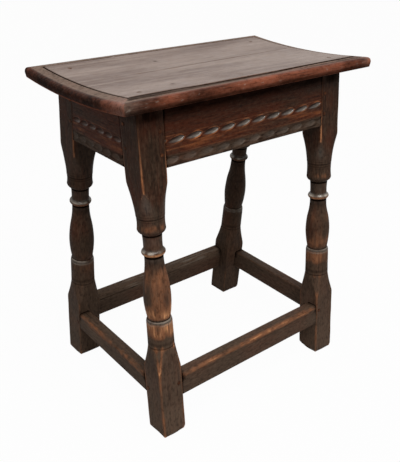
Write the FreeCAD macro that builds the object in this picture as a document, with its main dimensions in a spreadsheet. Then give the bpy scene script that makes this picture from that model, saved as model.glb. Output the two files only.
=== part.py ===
import FreeCAD, Part

import math
import operator
import os
from types import SimpleNamespace

import Sketcher

# Joint stool of turned and pegged oak.
# X runs along the seat, Y across it and Z up. The origin lies on the floor, midway between the feet.
# The legs lean outwards in the YZ plane only, so each long rail and stretcher leans with its pair of legs,
# and the end rails and end stretchers stand upright with slanted shoulders.

SIZES = {
    # Frame, over the outer faces at the level of the seat
    "frame_length": 398.0,
    "frame_width": 213.0,
    "frame_height": 520.0,
    "foot_spread": 50.0,
    # Legs
    "leg_square": 42.4,
    "lower_block": 118.0,
    "column_foot": 158.0,
    "column_radius": 20.3,
    "fillet_height": 6.0,
    "quirk_radius": 18.3,
    "vase_height": 34.0,
    "vase_radius": 21.1,
    "vase_neck_radius": 14.2,
    "vase_turn_share": 0.57,
    "ring_width": 8.8,
    "ring_crown": 4.4,
    "ring_radius": 18.0,
    "neck_radius": 14.7,
    "cup_depth": 8.0,
    "cup_radius": 21.1,
    "cove_foot": 372.0,
    "upper_block": 421.0,
    # Heights that the turner struck by eye, leg by leg
    "quirk_front_left": 206.0,
    "quirk_front_right": 210.0,
    "quirk_back_left": 209.0,
    "quirk_back_right": 208.0,
    "ring_front_left": 315.5,
    "ring_front_right": 309.0,
    "ring_back_left": 320.5,
    "ring_back_right": 319.0,
    "cup_front_left": 349.5,
    "cup_front_right": 344.0,
    "cup_back_left": 354.0,
    "cup_back_right": 349.0,
    # Rails under the seat
    "rail_height": 83.0,
    "rail_thickness": 22.0,
    "rail_upper_shoulder": 14.0,
    "rail_lower_shoulder": 4.0,
    # Stretchers near the floor, riven to unlike heights about one line
    "stretcher_middle": 82.4,
    "stretcher_height_front": 37.5,
    "stretcher_height_back": 45.0,
    "stretcher_height_left": 32.5,
    "stretcher_height_right": 36.0,
    "stretcher_thickness": 20.0,
    "stretcher_shoulder": 3.0,
    "stretcher_bevel": 2.5,
    # Mortise and tenon joints
    "tenon_length": 20.0,
    "tenon_thickness": 8.0,
    "tenon_inset": 10.0,
    "mortise_clearance": 0.1,
    "mortise_depth_clearance": 1.0,
    # Pegs through the joints
    "peg_radius": 3.7,
    "peg_proud": 0.7,
    "peg_setback": 0.6,
    "peg_clearance": 0.1,
    "peg_inset": 7.0,
    "rail_peg_upper": 31.0,
    "rail_peg_lower": 64.0,
    "rail_peg_stagger": 10.0,
    "stretcher_peg_stagger": 12.0,
    # Seat board
    "seat_end_overhang": 38.0,
    "seat_side_overhang": 33.0,
    "seat_thickness": 18.3,
    "seat_cup": 8.2,
    "seat_cup_line": 15.0,
    "groove_inset": 17.0,
    "groove_width": 2.2,
    "groove_depth": 1.8,
    "band_drop": 0.6,
    "nose_inset": 6.5,
    "nose_drop": 2.8,
    "nose_rise": 2.4,
    "edge_height": 7.5,
    "edge_undercut": 2.0,
    "split_end": -120.0,
    "split_width": 1.1,
    "split_tip_width": 0.3,
    "split_offset": 5.0,
    "split_tip_offset": -4.0,
    # Pegs through the seat into the tops of the legs
    "seat_peg_radius": 4.0,
    "seat_peg_depth": 26.0,
    "seat_peg_out_along": 6.0,
    "seat_peg_out_across": 8.0,
    "seat_peg_proud": 0.4,
    # How far a cut runs past the wood
    "overrun": 5.0,
}

PEG_SIDES = 8

OPERATORS = {"+": operator.add, "-": operator.sub, "*": operator.mul, "/": operator.truediv}


class Size:
    """A size with its number and the formula that gives it from the cells of the sheet."""

    def __init__(self, value, formula):
        self.value = float(value)
        self.formula = formula

    def __add__(self, other):
        return joined(self, "+", other)

    def __radd__(self, other):
        return joined(other, "+", self)

    def __sub__(self, other):
        return joined(self, "-", other)

    def __rsub__(self, other):
        return joined(other, "-", self)

    def __mul__(self, other):
        return joined(self, "*", other)

    def __rmul__(self, other):
        return joined(other, "*", self)

    def __truediv__(self, other):
        return joined(self, "/", other)

    def __rtruediv__(self, other):
        return joined(other, "/", self)

    def __neg__(self):
        return joined(0, "-", self)


def as_size(number):
    """The same thing as a Size, if it is a plain number."""
    return number if isinstance(number, Size) else Size(number, f"({number})")


def joined(left, sign, right):
    """Two sizes joined by an operator, in number and in formula."""
    left = as_size(left)
    right = as_size(right)
    return Size(OPERATORS[sign](left.value, right.value), f"({left.formula} {sign} {right.formula})")


def root(size):
    """Square root of a size."""
    return Size(math.sqrt(size.value), f"sqrt({size.formula})")


def cosine(angle):
    """Cosine of an angle in degrees."""
    return Size(math.cos(math.radians(angle.value)), f"cos({angle.formula})")


def sine(angle):
    """Sine of an angle in degrees."""
    return Size(math.sin(math.radians(angle.value)), f"sin({angle.formula})")


no_turn = Size(0, "0 deg")
full_turn = Size(360, "360 deg")
right_angle = full_turn / 4


def between(start, end, share):
    """The size that lies a share of the way from start to end."""
    return start + (end - start) * share


class Arc:
    """The curved side of an outline, bulging to the right of its travel if outward, else to the left."""

    def __init__(self, rise=None, radius=None, outward=True):
        self.rise = rise
        self.radius = radius
        self.outward = outward

    def radius_between(self, start, end):
        """Radius that gives the wanted rise over the chord between two corners."""
        if self.radius is not None:
            return self.radius
        across = end[0] - start[0]
        up = end[1] - start[1]
        return ((across * across + up * up) / 4 + self.rise * self.rise) / (2 * self.rise)


ALONG = FreeCAD.Vector(1, 0, 0)
ACROSS = FreeCAD.Vector(0, 1, 0)
UPRIGHT = FreeCAD.Vector(0, 0, 1)


class Drawing:
    """A sketch on an origin plane of a body, whose corners and radii are held by formulas on the sheet."""

    def __init__(self, body, name, plane, lift=None, shift=None, turn=None, turn_axis=UPRIGHT):
        self.sketch = body.newObject("Sketcher::SketchObject", f"{body.Name}_{name}")
        origin_plane = next(item for item in body.Origin.OriginFeatures if item.Role == plane)
        self.sketch.AttachmentSupport = [(origin_plane, "")]
        self.sketch.MapMode = "FlatFace"
        if turn is not None:
            rotation = FreeCAD.Rotation(turn_axis, turn.value)
            self.sketch.AttachmentOffset = FreeCAD.Placement(FreeCAD.Vector(), rotation)
        offsets = {"Base.z": lift, "Rotation.Angle": turn}
        offsets.update(zip(("Base.x", "Base.y"), shift or ()))
        for part, offset in offsets.items():
            if offset is not None:
                bind(self.sketch, f"AttachmentOffset.{part}", offset)

    def hold(self, kind, places, size):
        """Add a constraint and tie its value to the size's formula."""
        index = self.sketch.addConstraint(Sketcher.Constraint(kind, *places, size.value))
        self.sketch.setExpression(f"Constraints[{index}]", size.formula)

    def place(self, geometry, end, corner):
        """Hold one point of a line, arc or circle at a corner, measured from the sketch's origin."""
        across, up = (as_size(item) for item in corner)
        self.hold("DistanceX", (-1, 1, geometry, end), across)
        self.hold("DistanceY", (-1, 1, geometry, end), up)

    def outline(self, *path):
        """A closed outline of corners. An Arc between two corners curves the side that joins them."""
        corners = []
        curves = {}
        for item in path:
            if isinstance(item, Arc):
                curves[len(corners) - 1] = item
            else:
                corners.append(item)
        ends = []
        for number, start in enumerate(corners):
            end = corners[(number + 1) % len(corners)]
            curve = curves.get(number)
            if curve is None:
                geometry = self.sketch.addGeometry(Part.LineSegment(flat(start), flat(end)))
                first, last = 1, 2
            else:
                radius = as_size(curve.radius_between(start, end))
                arc = arc_between(flat(start), flat(end), radius.value, curve.outward)
                geometry = self.sketch.addGeometry(arc)
                first, last = (1, 2) if curve.outward else (2, 1)
                self.hold("Radius", (geometry,), radius)
            self.place(geometry, first, start)
            ends.append((geometry, first, last))
        for (geometry, _, last), (following, first, _) in zip(ends, ends[1:] + ends[:1]):
            self.sketch.addConstraint(Sketcher.Constraint("Coincident", geometry, last, following, first))
        return self.sketch

    def box(self, across, up):
        """A rectangle between two sizes across and two sizes up."""
        low, high = across
        bottom, top = up
        return self.outline((low, bottom), (high, bottom), (high, top), (low, top))

    def peg_holes(self, centres, radius, tilt=no_turn):
        """Holes with as many sides as a peg, each with a corner on the line across, turned by a tilt."""
        for across, up in centres:
            turns = [full_turn * number / PEG_SIDES + tilt for number in range(PEG_SIDES)]
            self.outline(*((across + radius * cosine(turn), up + radius * sine(turn)) for turn in turns))
        return self.sketch


def flat(corner):
    """A corner as a vector in the plane of its sketch."""
    across, up = (as_size(item).value for item in corner)
    return FreeCAD.Vector(across, up, 0)


def arc_between(start, end, radius, outward):
    """Arc of under half a circle between two points, which turns left on its way if outward."""
    middle = (start + end) / 2
    chord = end - start
    aside = FreeCAD.Vector(-chord.y, chord.x, 0).normalize()
    height = math.sqrt(max(radius ** 2 - (chord.Length / 2) ** 2, 0))
    centre = middle + aside * (height if outward else -height)
    angles = [math.atan2(point.y - centre.y, point.x - centre.x) for point in (start, end)]
    if not outward:
        angles.reverse()
    return Part.ArcOfCircle(Part.Circle(centre, UPRIGHT, radius), *angles)


def bind(thing, name, size):
    """Tie a property to a size's formula."""
    thing.setExpression(name, as_size(size).formula)


doc = FreeCAD.newDocument("joint_stool")
sheet = doc.addObject("Spreadsheet::Sheet", "Sizes")
for row, (name, number) in enumerate(SIZES.items(), start=1):
    sheet.set(f"A{row}", name)
    sheet.set(f"B{row}", str(number))
    sheet.setAlias(f"B{row}", name)
doc.recompute()
size = SimpleNamespace(**{name: Size(number, f"Sizes.{name}") for name, number in SIZES.items()})

# The lean of the legs, as a slope, and what it does to a length along a leg
slope = size.foot_spread / size.frame_height
stretch = root(1 + slope * slope)
lean_angle = Size(math.degrees(math.atan(slope.value)), f"atan({slope.formula})")

half_leg = size.leg_square / 2
leg_level_width = size.leg_square * stretch
leg_axis_along = size.frame_length / 2 - half_leg
foot_axis_across = size.frame_width / 2 + size.foot_spread - leg_level_width / 2

SIDES = {"left": -1, "right": 1}
DEPTHS = {"front": -1, "back": 1}


def new_body(name):
    """An empty body with the name of its piece."""
    body = doc.addObject("PartDesign::Body", name)
    body.Label = name
    return body


def pad(body, sketch, length):
    """Extrude a sketch evenly to both sides of its plane."""
    feature = body.newObject("PartDesign::Pad", f"{sketch.Name}_pad")
    feature.Profile = sketch
    feature.Midplane = True
    bind(feature, "Length", length)


def pocket(body, sketch, depth, both_ways=False, reverse=False):
    """Cut a sketch into the body, to one side of its plane or evenly to both."""
    feature = body.newObject("PartDesign::Pocket", f"{sketch.Name}_cut")
    feature.Profile = sketch
    feature.Midplane = both_ways
    feature.Reversed = reverse
    bind(feature, "Length", depth)


def groove(body, sketch, axis):
    """Turn away the outline of a sketch, all round one of its axes."""
    feature = body.newObject("PartDesign::Groove", f"{sketch.Name}_cut")
    feature.Profile = sketch
    feature.ReferenceAxis = (sketch, [axis])
    bind(feature, "Angle", full_turn)


def level_ended(change, length):
    """Radius of an arc that starts level with its axis and changes by so much over a length."""
    return (change * change + length * length) / (2 * change)


def turning(quirk, ring, cup):
    """Outline of the wood turned away between the square blocks of a leg, as radius and height."""
    corner_radius = root(2 * half_leg * half_leg)
    widest = quirk + size.vase_height
    vase_top = ring - size.ring_width / 2
    turn_height = between(widest, vase_top, size.vase_turn_share)
    turn_radius = between(size.vase_radius, size.vase_neck_radius, size.vase_turn_share)
    return (
        (size.leg_square, size.lower_block),
        (corner_radius, size.lower_block),
        (size.column_radius, size.column_foot),
        (size.column_radius, quirk - size.fillet_height),
        (size.quirk_radius, quirk),
        Arc(radius=level_ended(size.vase_radius - size.quirk_radius, size.vase_height)),
        (size.vase_radius, widest),
        Arc(radius=level_ended(size.vase_radius - turn_radius, turn_height - widest)),
        (turn_radius, turn_height),
        Arc(radius=level_ended(turn_radius - size.vase_neck_radius, vase_top - turn_height), outward=False),
        (size.vase_neck_radius, vase_top),
        (size.ring_radius, ring - size.ring_crown / 2),
        (size.ring_radius, ring + size.ring_crown / 2),
        (size.neck_radius, ring + size.ring_width / 2),
        (size.neck_radius, cup - size.cup_depth),
        (size.cup_radius, cup),
        (size.cup_radius, size.cove_foot),
        (corner_radius, size.upper_block),
        (size.leg_square, size.upper_block),
    )


def across_at(height, outward):
    """Distance from the middle of the stool, at a height, of a line that runs along a leg.

    The line lies so far outward of the leg's axis, measured square to the axis."""
    return foot_axis_across - height * slope + outward * stretch


def along_leg(height):
    """Distance up the axis of a leg to a height over the floor."""
    return height * stretch


def peg_heights(kind):
    """Heights over the floor of the pegs through one joint of the long and of the end bars."""
    if kind == "rail":
        long_heights = [size.frame_height - drop for drop in (size.rail_peg_upper, size.rail_peg_lower)]
        return long_heights, [height + size.rail_peg_stagger for height in long_heights]
    half_stagger = size.stretcher_peg_stagger / 2
    return [size.stretcher_middle + half_stagger], [size.stretcher_middle - half_stagger]


def bar_sizes(kind, place):
    """Underside, top, thickness, lower shoulder and upper shoulder of the rail or stretcher at one place."""
    if kind == "rail":
        underside = size.frame_height - size.rail_height
        shoulders = (size.rail_lower_shoulder, size.rail_upper_shoulder)
        return underside, size.frame_height, size.rail_thickness, *shoulders
    half_height = getattr(size, f"stretcher_height_{place}") / 2
    edges = (size.stretcher_middle - half_height, size.stretcher_middle + half_height)
    return *edges, size.stretcher_thickness, size.stretcher_shoulder, size.stretcher_shoulder


def make_leg(depth_name, side_name):
    """One leg: a square blank cut level at both ends, turned, mortised and bored for its pegs."""
    side = SIDES[side_name]
    depth = DEPTHS[depth_name]
    corner = f"{depth_name}_{side_name}"
    body = new_body(f"leg_{corner}")

    def level(across, height):
        """How far up the leg a point at a height lies, so far across its axis."""
        return along_leg(height) - across * (depth * slope)

    ends = [(across, level(across, height))
            for height, faces in ((0, (-half_leg, half_leg)), (size.frame_height, (half_leg, -half_leg)))
            for across in faces]
    pad(body, Drawing(body, "blank", "YZ_Plane").outline(*ends), size.leg_square)

    heights = [getattr(size, f"{part}_{corner}") for part in ("quirk", "ring", "cup")]
    groove(body, Drawing(body, "turning", "XZ_Plane").outline(*turning(*heights)), "V_Axis")

    play = size.mortise_clearance
    cut_depth = size.tenon_length + size.mortise_depth_clearance
    tenon_outer = half_leg - size.tenon_inset
    tenon_faces = (tenon_outer + play, tenon_outer - size.tenon_thickness - play)
    end_tenon_middle = tenon_outer - size.tenon_thickness / 2
    for kind in ("rail", "stretcher"):
        underside, top, _, lower_shoulder, upper_shoulder = bar_sizes(kind, depth_name)
        low = lower_shoulder - play
        high = upper_shoulder - play
        drawing = Drawing(body, f"long_{kind}_mortise", "YZ_Plane", lift=-side * half_leg)
        across = [face * depth for face in tenon_faces]
        sketch = drawing.box(across, (along_leg(underside) + low, along_leg(top) - high))
        pocket(body, sketch, cut_depth, reverse=side > 0)

        underside, top, _, lower_shoulder, upper_shoulder = bar_sizes(kind, side_name)
        low = lower_shoulder - play
        high = upper_shoulder - play
        drawing = Drawing(body, f"end_{kind}_mortise", "YZ_Plane", lift=side * end_tenon_middle)
        mouth = -depth * (half_leg + size.overrun)
        bottom = -depth * (half_leg - cut_depth)
        sketch = drawing.outline(
            (mouth, level(mouth, underside + low)),
            (bottom, level(bottom, underside + low)),
            (bottom, level(bottom, top - high)),
            (mouth, level(mouth, top - high)),
        )
        pocket(body, sketch, size.tenon_thickness + 2 * play, both_ways=True)

        long_heights, end_heights = peg_heights(kind)
        hole = size.peg_radius + size.peg_clearance
        inset = half_leg - size.peg_inset
        centres = [(-side * inset, along_leg(height)) for height in long_heights]
        sketch = Drawing(body, f"long_{kind}_peg_holes", "XZ_Plane").peg_holes(centres, hole)
        pocket(body, sketch, 2 * size.leg_square, both_ways=True)
        centres = [(-depth * inset, level(-depth * inset, height)) for height in end_heights]
        drawing = Drawing(body, f"end_{kind}_peg_holes", "YZ_Plane")
        sketch = drawing.peg_holes(centres, hole, tilt=lean_angle * -depth)
        pocket(body, sketch, 2 * size.leg_square, both_ways=True)

    out_across = depth * size.seat_peg_out_across / stretch
    mouth = (side * size.seat_peg_out_along, out_across)
    drawing = Drawing(body, "seat_peg_hole", "XY_Plane", lift=level(out_across, size.frame_height),
                      shift=mouth, turn=lean_angle * -depth, turn_axis=ALONG)
    sketch = drawing.peg_holes([(0, 0)], size.seat_peg_radius + size.peg_clearance)
    pocket(body, sketch, size.seat_peg_depth + size.peg_setback)

    lean(body, depth, side * leg_axis_along)
    return body


def make_long_bar(kind, depth_name):
    """A rail or stretcher between two legs of the front or back, leaning with them."""
    depth = DEPTHS[depth_name]
    underside, top, thickness, lower_shoulder, upper_shoulder = bar_sizes(kind, depth_name)
    body = new_body(f"{kind}_{depth_name}")
    outer = depth * half_leg
    inner = depth * (half_leg - thickness)
    bottom = along_leg(underside)
    if kind == "rail":
        upper_edge = [(face, along_leg(top) - face * (depth * slope)) for face in (inner, outer)]
    else:
        bevelled = depth * (half_leg - size.stretcher_bevel)
        level = along_leg(top)
        upper_edge = [(inner, level), (bevelled, level), (outer, level - size.stretcher_bevel)]
    sketch = Drawing(body, "section", "YZ_Plane").outline((outer, bottom), (inner, bottom), *upper_edge)
    shoulders = size.frame_length - 2 * size.leg_square
    pad(body, sketch, shoulders)

    faces = [depth * (half_leg - size.tenon_inset - depth_in) for depth_in in (0, size.tenon_thickness)]
    edges = (bottom + lower_shoulder, along_leg(top) - upper_shoulder)
    sketch = Drawing(body, "tenons", "YZ_Plane").box(faces, edges)
    pad(body, sketch, shoulders + 2 * size.tenon_length)

    heights, _ = peg_heights(kind)
    centres = [(side * (leg_axis_along - half_leg + size.peg_inset), along_leg(height))
               for side in SIDES.values() for height in heights]
    sketch = Drawing(body, "peg_holes", "XZ_Plane").peg_holes(centres, size.peg_radius + size.peg_clearance)
    pocket(body, sketch, 2 * size.leg_square, both_ways=True)
    lean(body, depth)
    return body


def make_end_bar(kind, side_name):
    """An upright rail or stretcher across one end, with shoulders slanted to meet the leaning legs."""
    side = SIDES[side_name]
    underside, top, thickness, lower_shoulder, upper_shoulder = bar_sizes(kind, side_name)
    body = new_body(f"{kind}_{side_name}")

    def slanted(low, high, outward):
        """The four corners of the bar from the side, its ends so far outward of the legs' axes."""
        return [(depth * across_at(height, outward), height)
                for height, depths in ((low, (-1, 1)), (high, (1, -1)))
                for depth in depths]

    pad(body, Drawing(body, "side", "YZ_Plane").outline(*slanted(underside, top, -half_leg)), thickness)

    tenon_middle = side * (thickness / 2 - size.tenon_inset - size.tenon_thickness / 2)
    drawing = Drawing(body, "tenons", "YZ_Plane", lift=tenon_middle)
    reach = size.tenon_length - half_leg
    sketch = drawing.outline(*slanted(underside + lower_shoulder, top - upper_shoulder, reach))
    pad(body, sketch, size.tenon_thickness)

    if kind == "stretcher":
        outer = side * thickness / 2
        past = side * size.overrun
        sketch = Drawing(body, "bevel", "XZ_Plane").outline(
            (outer - side * size.stretcher_bevel, top),
            (outer, top - size.stretcher_bevel),
            (outer + past, top - size.stretcher_bevel),
            (outer + past, top + size.overrun),
            (outer - side * size.stretcher_bevel, top + size.overrun),
        )
        pocket(body, sketch, size.frame_width + 2 * size.foot_spread, both_ways=True)

    _, heights = peg_heights(kind)
    centres = [(depth * across_at(height, size.peg_inset - half_leg), height)
               for depth in DEPTHS.values() for height in heights]
    sketch = Drawing(body, "peg_holes", "YZ_Plane").peg_holes(centres, size.peg_radius + size.peg_clearance)
    pocket(body, sketch, 2 * size.leg_square, both_ways=True)
    bind(body, "Placement.Base.x", side * (size.frame_length / 2 - thickness / 2))
    return body


def make_peg(name, radius, length, place, angle=no_turn, turn_axis=UPRIGHT):
    """A riven peg, whittled to its sides all along."""
    peg = doc.addObject("Part::Prism", name)
    peg.Polygon = PEG_SIDES
    bind(peg, "Circumradius", radius)
    bind(peg, "Height", length)
    set_place(peg, place, angle, turn_axis)
    return peg


def make_joint_peg(name, place, angle, turn_axis):
    """A peg from just proud of one face of a leg to just short of the other."""
    length = size.peg_proud + size.leg_square - size.peg_setback
    return make_peg(name, size.peg_radius, length, place, angle, turn_axis)


def make_long_pegs(kind, depth_name):
    """Pegs square through the front or back faces of two legs and the tenons inside them."""
    depth = DEPTHS[depth_name]
    outward = half_leg + size.peg_proud
    pegs = []
    for side_name, side in SIDES.items():
        for height in peg_heights(kind)[0]:
            place = (
                side * (leg_axis_along - half_leg + size.peg_inset),
                depth * (foot_axis_across + outward / stretch - height * slope),
                height + outward * slope / stretch,
            )
            name = f"peg_{kind}_{depth_name}_{side_name}"
            pegs.append(make_joint_peg(name, place, (lean_angle + right_angle) * depth, ALONG))
    return grouped(f"pegs_{kind}_{depth_name}", pegs)


def make_end_pegs(kind, side_name):
    """Pegs through the side faces of two legs and the tenons of the bar between them."""
    side = SIDES[side_name]
    pegs = []
    for depth_name, depth in DEPTHS.items():
        for height in peg_heights(kind)[1]:
            place = (
                side * (size.frame_length / 2 + size.peg_proud),
                depth * across_at(height, size.peg_inset - half_leg),
                height,
            )
            name = f"peg_{kind}_{side_name}_{depth_name}"
            pegs.append(make_joint_peg(name, place, right_angle * -side, ACROSS))
    return grouped(f"pegs_{kind}_{side_name}", pegs)


def set_place(thing, place, angle=no_turn, turn_axis=UPRIGHT):
    """Put a thing at a point, turned by an angle about an axis, all tied to their formulas."""
    rotation = FreeCAD.Rotation(turn_axis, angle.value)
    thing.Placement = FreeCAD.Placement(FreeCAD.Vector(), rotation)
    bind(thing, "Placement.Rotation.Angle", angle)
    for axis, coordinate in zip("xyz", place):
        bind(thing, f"Placement.Base.{axis}", coordinate)


def lean(body, depth, along=0):
    """Stand a body on the line of the feet at the front or back, and lean it with the legs."""
    set_place(body, (along, depth * foot_axis_across, 0), lean_angle * depth, ALONG)


def grouped(name, pegs):
    """Identical pegs as one group of separate solids."""
    group = doc.addObject("Part::Compound", name)
    group.Label = name
    group.Links = pegs
    return group


# The seat board has cupped with age: seen from an end, it is part of a wide ring round an axis over it.
half_length = size.frame_length / 2 + size.seat_end_overhang
half_width = size.frame_width / 2 + size.seat_side_overhang
cup_radius = level_ended(size.seat_cup, half_width)
top_radius = cup_radius - size.seat_thickness


def seat_edge(depth):
    """Place of the lower arris of the seat's front or back edge, from the lowest line of its underside."""
    across = depth * half_width - size.seat_cup_line
    return across, cup_radius - root(cup_radius * cup_radius - across * across)


def moulding(place, mirrored):
    """Outline of the wood worked away along an edge: undercut, nose, sloping band and scratched groove.

    place turns a distance in from the edge and a height over the underside into a corner."""
    over = size.overrun
    top = size.seat_thickness
    half_groove = size.groove_width / 2
    return (
        place(size.edge_undercut, 0),
        place(0, size.edge_height),
        Arc(size.nose_rise, outward=mirrored),
        place(size.nose_inset, top - size.nose_drop),
        place(size.groove_inset - half_groove, top - size.band_drop),
        place(size.groove_inset, top - size.groove_depth),
        place(size.groove_inset + half_groove, top),
        place(size.groove_inset + half_groove, top + over),
        place(-over, top + over),
        place(-over, -over),
        place(size.edge_undercut, -over),
    )


def make_seat():
    """The seat board, with its moulded edges, its peg holes and the split from its right-hand end."""
    body = new_body("seat_board")
    front, back = (seat_edge(depth) for depth in DEPTHS.values())

    def upper(corner):
        """The corner above one on the underside, square to the curve."""
        across, up = corner
        share = top_radius / cup_radius
        return across * share, cup_radius - (cup_radius - up) * share

    section = Drawing(body, "section", "YZ_Plane").outline(
        front, Arc(radius=cup_radius), back, upper(back), Arc(radius=top_radius, outward=False), upper(front))
    pad(body, section, 2 * half_length)

    for name, depth, corner in (("front", -1, front), ("back", 1, back)):
        reach = corner[0] * depth / cup_radius
        turn = Size(math.degrees(math.asin(reach.value)), f"asin({reach.formula})") * depth
        drawing = Drawing(body, f"{name}_moulding", "YZ_Plane", shift=corner, turn=turn)
        sketch = drawing.outline(*moulding(lambda inward, up: (-depth * inward, up), mirrored=depth > 0))
        pocket(body, sketch, 2 * (half_length + size.overrun), both_ways=True)

    for name, side in SIDES.items():
        drawing = Drawing(body, f"{name}_moulding", "XZ_Plane", shift=(0, cup_radius))

        def place(inward, up):
            """A corner of the moulding in the sketch, whose origin is on the axis of the cup."""
            return side * (half_length - inward), up - cup_radius

        groove(body, drawing.outline(*moulding(place, mirrored=side > 0)), "H_Axis")

    through = 4 * (size.seat_thickness + size.seat_cup)
    along = leg_axis_along + size.seat_peg_out_along
    centres = [(side * along, seat_peg_across(depth) - size.seat_cup_line)
               for side in SIDES.values() for depth in DEPTHS.values()]
    drawing = Drawing(body, "peg_holes", "XY_Plane")
    sketch = drawing.peg_holes(centres, size.seat_peg_radius + size.peg_clearance)
    pocket(body, sketch, through, both_ways=True)

    wide = size.split_width / 2
    narrow = size.split_tip_width / 2
    end = half_length + size.overrun
    sketch = Drawing(body, "split", "XY_Plane").outline(
        (size.split_end, size.split_tip_offset - narrow),
        (end, size.split_offset - wide),
        (end, size.split_offset + wide),
        (size.split_end, size.split_tip_offset + narrow),
    )
    pocket(body, sketch, through, both_ways=True)
    set_place(body, (0, size.seat_cup_line, size.frame_height))
    return body


def seat_peg_across(depth):
    """How far across the stool the pegs through the seat stand, at the front or back."""
    return depth * (across_at(size.frame_height, 0) + size.seat_peg_out_across)


def make_seat_pegs():
    """Straight pegs down through the corners of the seat into the tops of the legs."""
    pegs = []
    for side_name, side in SIDES.items():
        for depth_name, depth in DEPTHS.items():
            across = seat_peg_across(depth)
            from_line = across - size.seat_cup_line
            top = size.frame_height + cup_radius - root(top_radius * top_radius - from_line * from_line)
            foot = size.frame_height - size.seat_peg_depth
            place = (side * (leg_axis_along + size.seat_peg_out_along), across, foot)
            length = top + size.seat_peg_proud - foot
            name = f"peg_seat_{depth_name}_{side_name}"
            pegs.append(make_peg(name, size.seat_peg_radius, length, place))
    return grouped("pegs_seat", pegs)


pieces = [make_leg(depth_name, side_name) for depth_name in DEPTHS for side_name in SIDES]
for kind in ("rail", "stretcher"):
    pieces += [make_long_bar(kind, depth_name) for depth_name in DEPTHS]
    pieces += [make_end_bar(kind, side_name) for side_name in SIDES]
    pieces += [make_long_pegs(kind, depth_name) for depth_name in DEPTHS]
    pieces += [make_end_pegs(kind, side_name) for side_name in SIDES]
pieces += [make_seat(), make_seat_pegs()]
doc.recompute()

for thing in doc.Objects:
    if "Invalid" in thing.State or "Error" in thing.State:
        raise RuntimeError(f"{thing.Name} failed: {thing.State}")
for piece in pieces:
    if piece.Shape.isNull() or not piece.Shape.isValid():
        raise RuntimeError(f"{piece.Label} has no valid shape")

os.makedirs("parts", exist_ok=True)
for piece in pieces:
    shape = piece.Shape
    shape.exportStep(f"parts/{piece.Label}.step")
    print(f"{piece.Label}: {len(shape.Solids)} solid(s), {shape.Volume:.0f} cubic millimetres")
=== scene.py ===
# %% [markdown]
# # A joint stool of turned and carved oak
# A joint stool is a small seat of pegged oak, made about three hundred and fifty years ago. Four turned legs are
# joined by rails under the seat and by stretchers near the floor, and a moulded board is pegged on top.
# The plain timbers, at their true size, come in as a frame. This lesson works out a finer surface for each of them:
# rubbed edges, gouge cuts, a scratched groove, and old wax over dark wood.

# %% Load the frame
import math
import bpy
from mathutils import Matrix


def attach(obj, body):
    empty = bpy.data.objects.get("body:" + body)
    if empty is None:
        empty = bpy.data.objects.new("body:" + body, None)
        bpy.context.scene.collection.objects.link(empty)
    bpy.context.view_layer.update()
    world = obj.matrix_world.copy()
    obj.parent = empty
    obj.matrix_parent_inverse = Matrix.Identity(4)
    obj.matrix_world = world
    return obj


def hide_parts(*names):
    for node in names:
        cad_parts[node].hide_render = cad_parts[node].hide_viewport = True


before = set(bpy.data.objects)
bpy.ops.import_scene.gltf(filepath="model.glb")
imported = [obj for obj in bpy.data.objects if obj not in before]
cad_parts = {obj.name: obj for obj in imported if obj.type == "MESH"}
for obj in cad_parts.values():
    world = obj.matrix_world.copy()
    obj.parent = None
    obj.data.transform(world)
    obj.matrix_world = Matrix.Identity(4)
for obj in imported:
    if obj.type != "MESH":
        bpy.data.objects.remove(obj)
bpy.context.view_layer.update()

from types import SimpleNamespace

import bmesh
import bpy
import numpy as np
from mathutils import Matrix, Vector

print("timbers and groups of pegs in the frame:", len(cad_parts))

# %% [markdown]
# ## The sizes
# All shapes are worked out in millimetres and turned into metres when a mesh is made.
# The long sides lean: each leg stands further out at the foot than under the seat, in the YZ plane only.
# The slope of that lean, and the factor by which it stretches a length, serve every timber.

# %% Sizes of the frame
MM = 0.001
FRAME_LENGTH = 398
FRAME_WIDTH = 213
FRAME_HEIGHT = 520
FOOT_SPREAD = 50
LEG = 42.4
HALF_LEG = LEG / 2
SIDES = {"left": -1, "right": 1}
DEPTHS = {"front": -1, "back": 1}
PLACES = ("front", "back", "left", "right")

slope = FOOT_SPREAD / FRAME_HEIGHT
stretch = math.hypot(1, slope)
lean_sine = slope / stretch
leg_along = FRAME_LENGTH / 2 - HALF_LEG
foot_across = FRAME_WIDTH / 2 + FOOT_SPREAD - HALF_LEG * stretch
print("lean of the legs in degrees:", round(math.degrees(math.atan(slope)), 2))

# %% [markdown]
# ## Uneven wood
# Nothing on an old hand-made thing is quite straight. A lattice of random numbers, blended between its points,
# gives smooth bumps of any size. A bell curve gives the soft patches: rubbed edges, dirty corners, filled joints.
# A step that rises smoothly from nothing to one bounds the wider areas.

# %% Smooth noise, a bell curve and a soft step
LATTICE = 24


def noise(points, cell, seed):
    """A smooth random value from -1 to 1: lattice values at the eight corners of a cell, blended by s*s*(3 - 2*s)."""
    lattice = np.random.default_rng(seed).uniform(-1, 1, (LATTICE,) * 3)
    place = np.asarray(points, float) / cell
    low = np.floor(place).astype(int)
    share = place - low
    share = share * share * (3 - 2 * share)
    total = np.zeros(place.shape[:-1])
    for corner in np.ndindex(2, 2, 2):
        weight = np.prod(np.where(corner, share, 1 - share), axis=-1)
        total += weight * lattice[tuple(np.moveaxis((low + corner) % LATTICE, -1, 0))]
    return total


def bell(distance, reach):
    """One at no distance, fading to nothing: e to the power of minus the square of distance over reach."""
    return np.exp(-np.square(np.asarray(distance, float) / reach))


def rise(distance, reach):
    """Nothing well below zero and one well above it: half of one plus the hyperbolic tangent of distance / reach."""
    return 0.5 + 0.5 * np.tanh(np.asarray(distance, float) / reach)


def stack(*parts):
    """Arrays of x, y and z, spread to one shape, as an array of points."""
    return np.stack(np.broadcast_arrays(*parts), axis=-1).astype(float)


print("noise at three places:", np.round(noise([[0, 0, 0], [5, 5, 5], [9, 2, 7]], 10, 1), 2))

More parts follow.
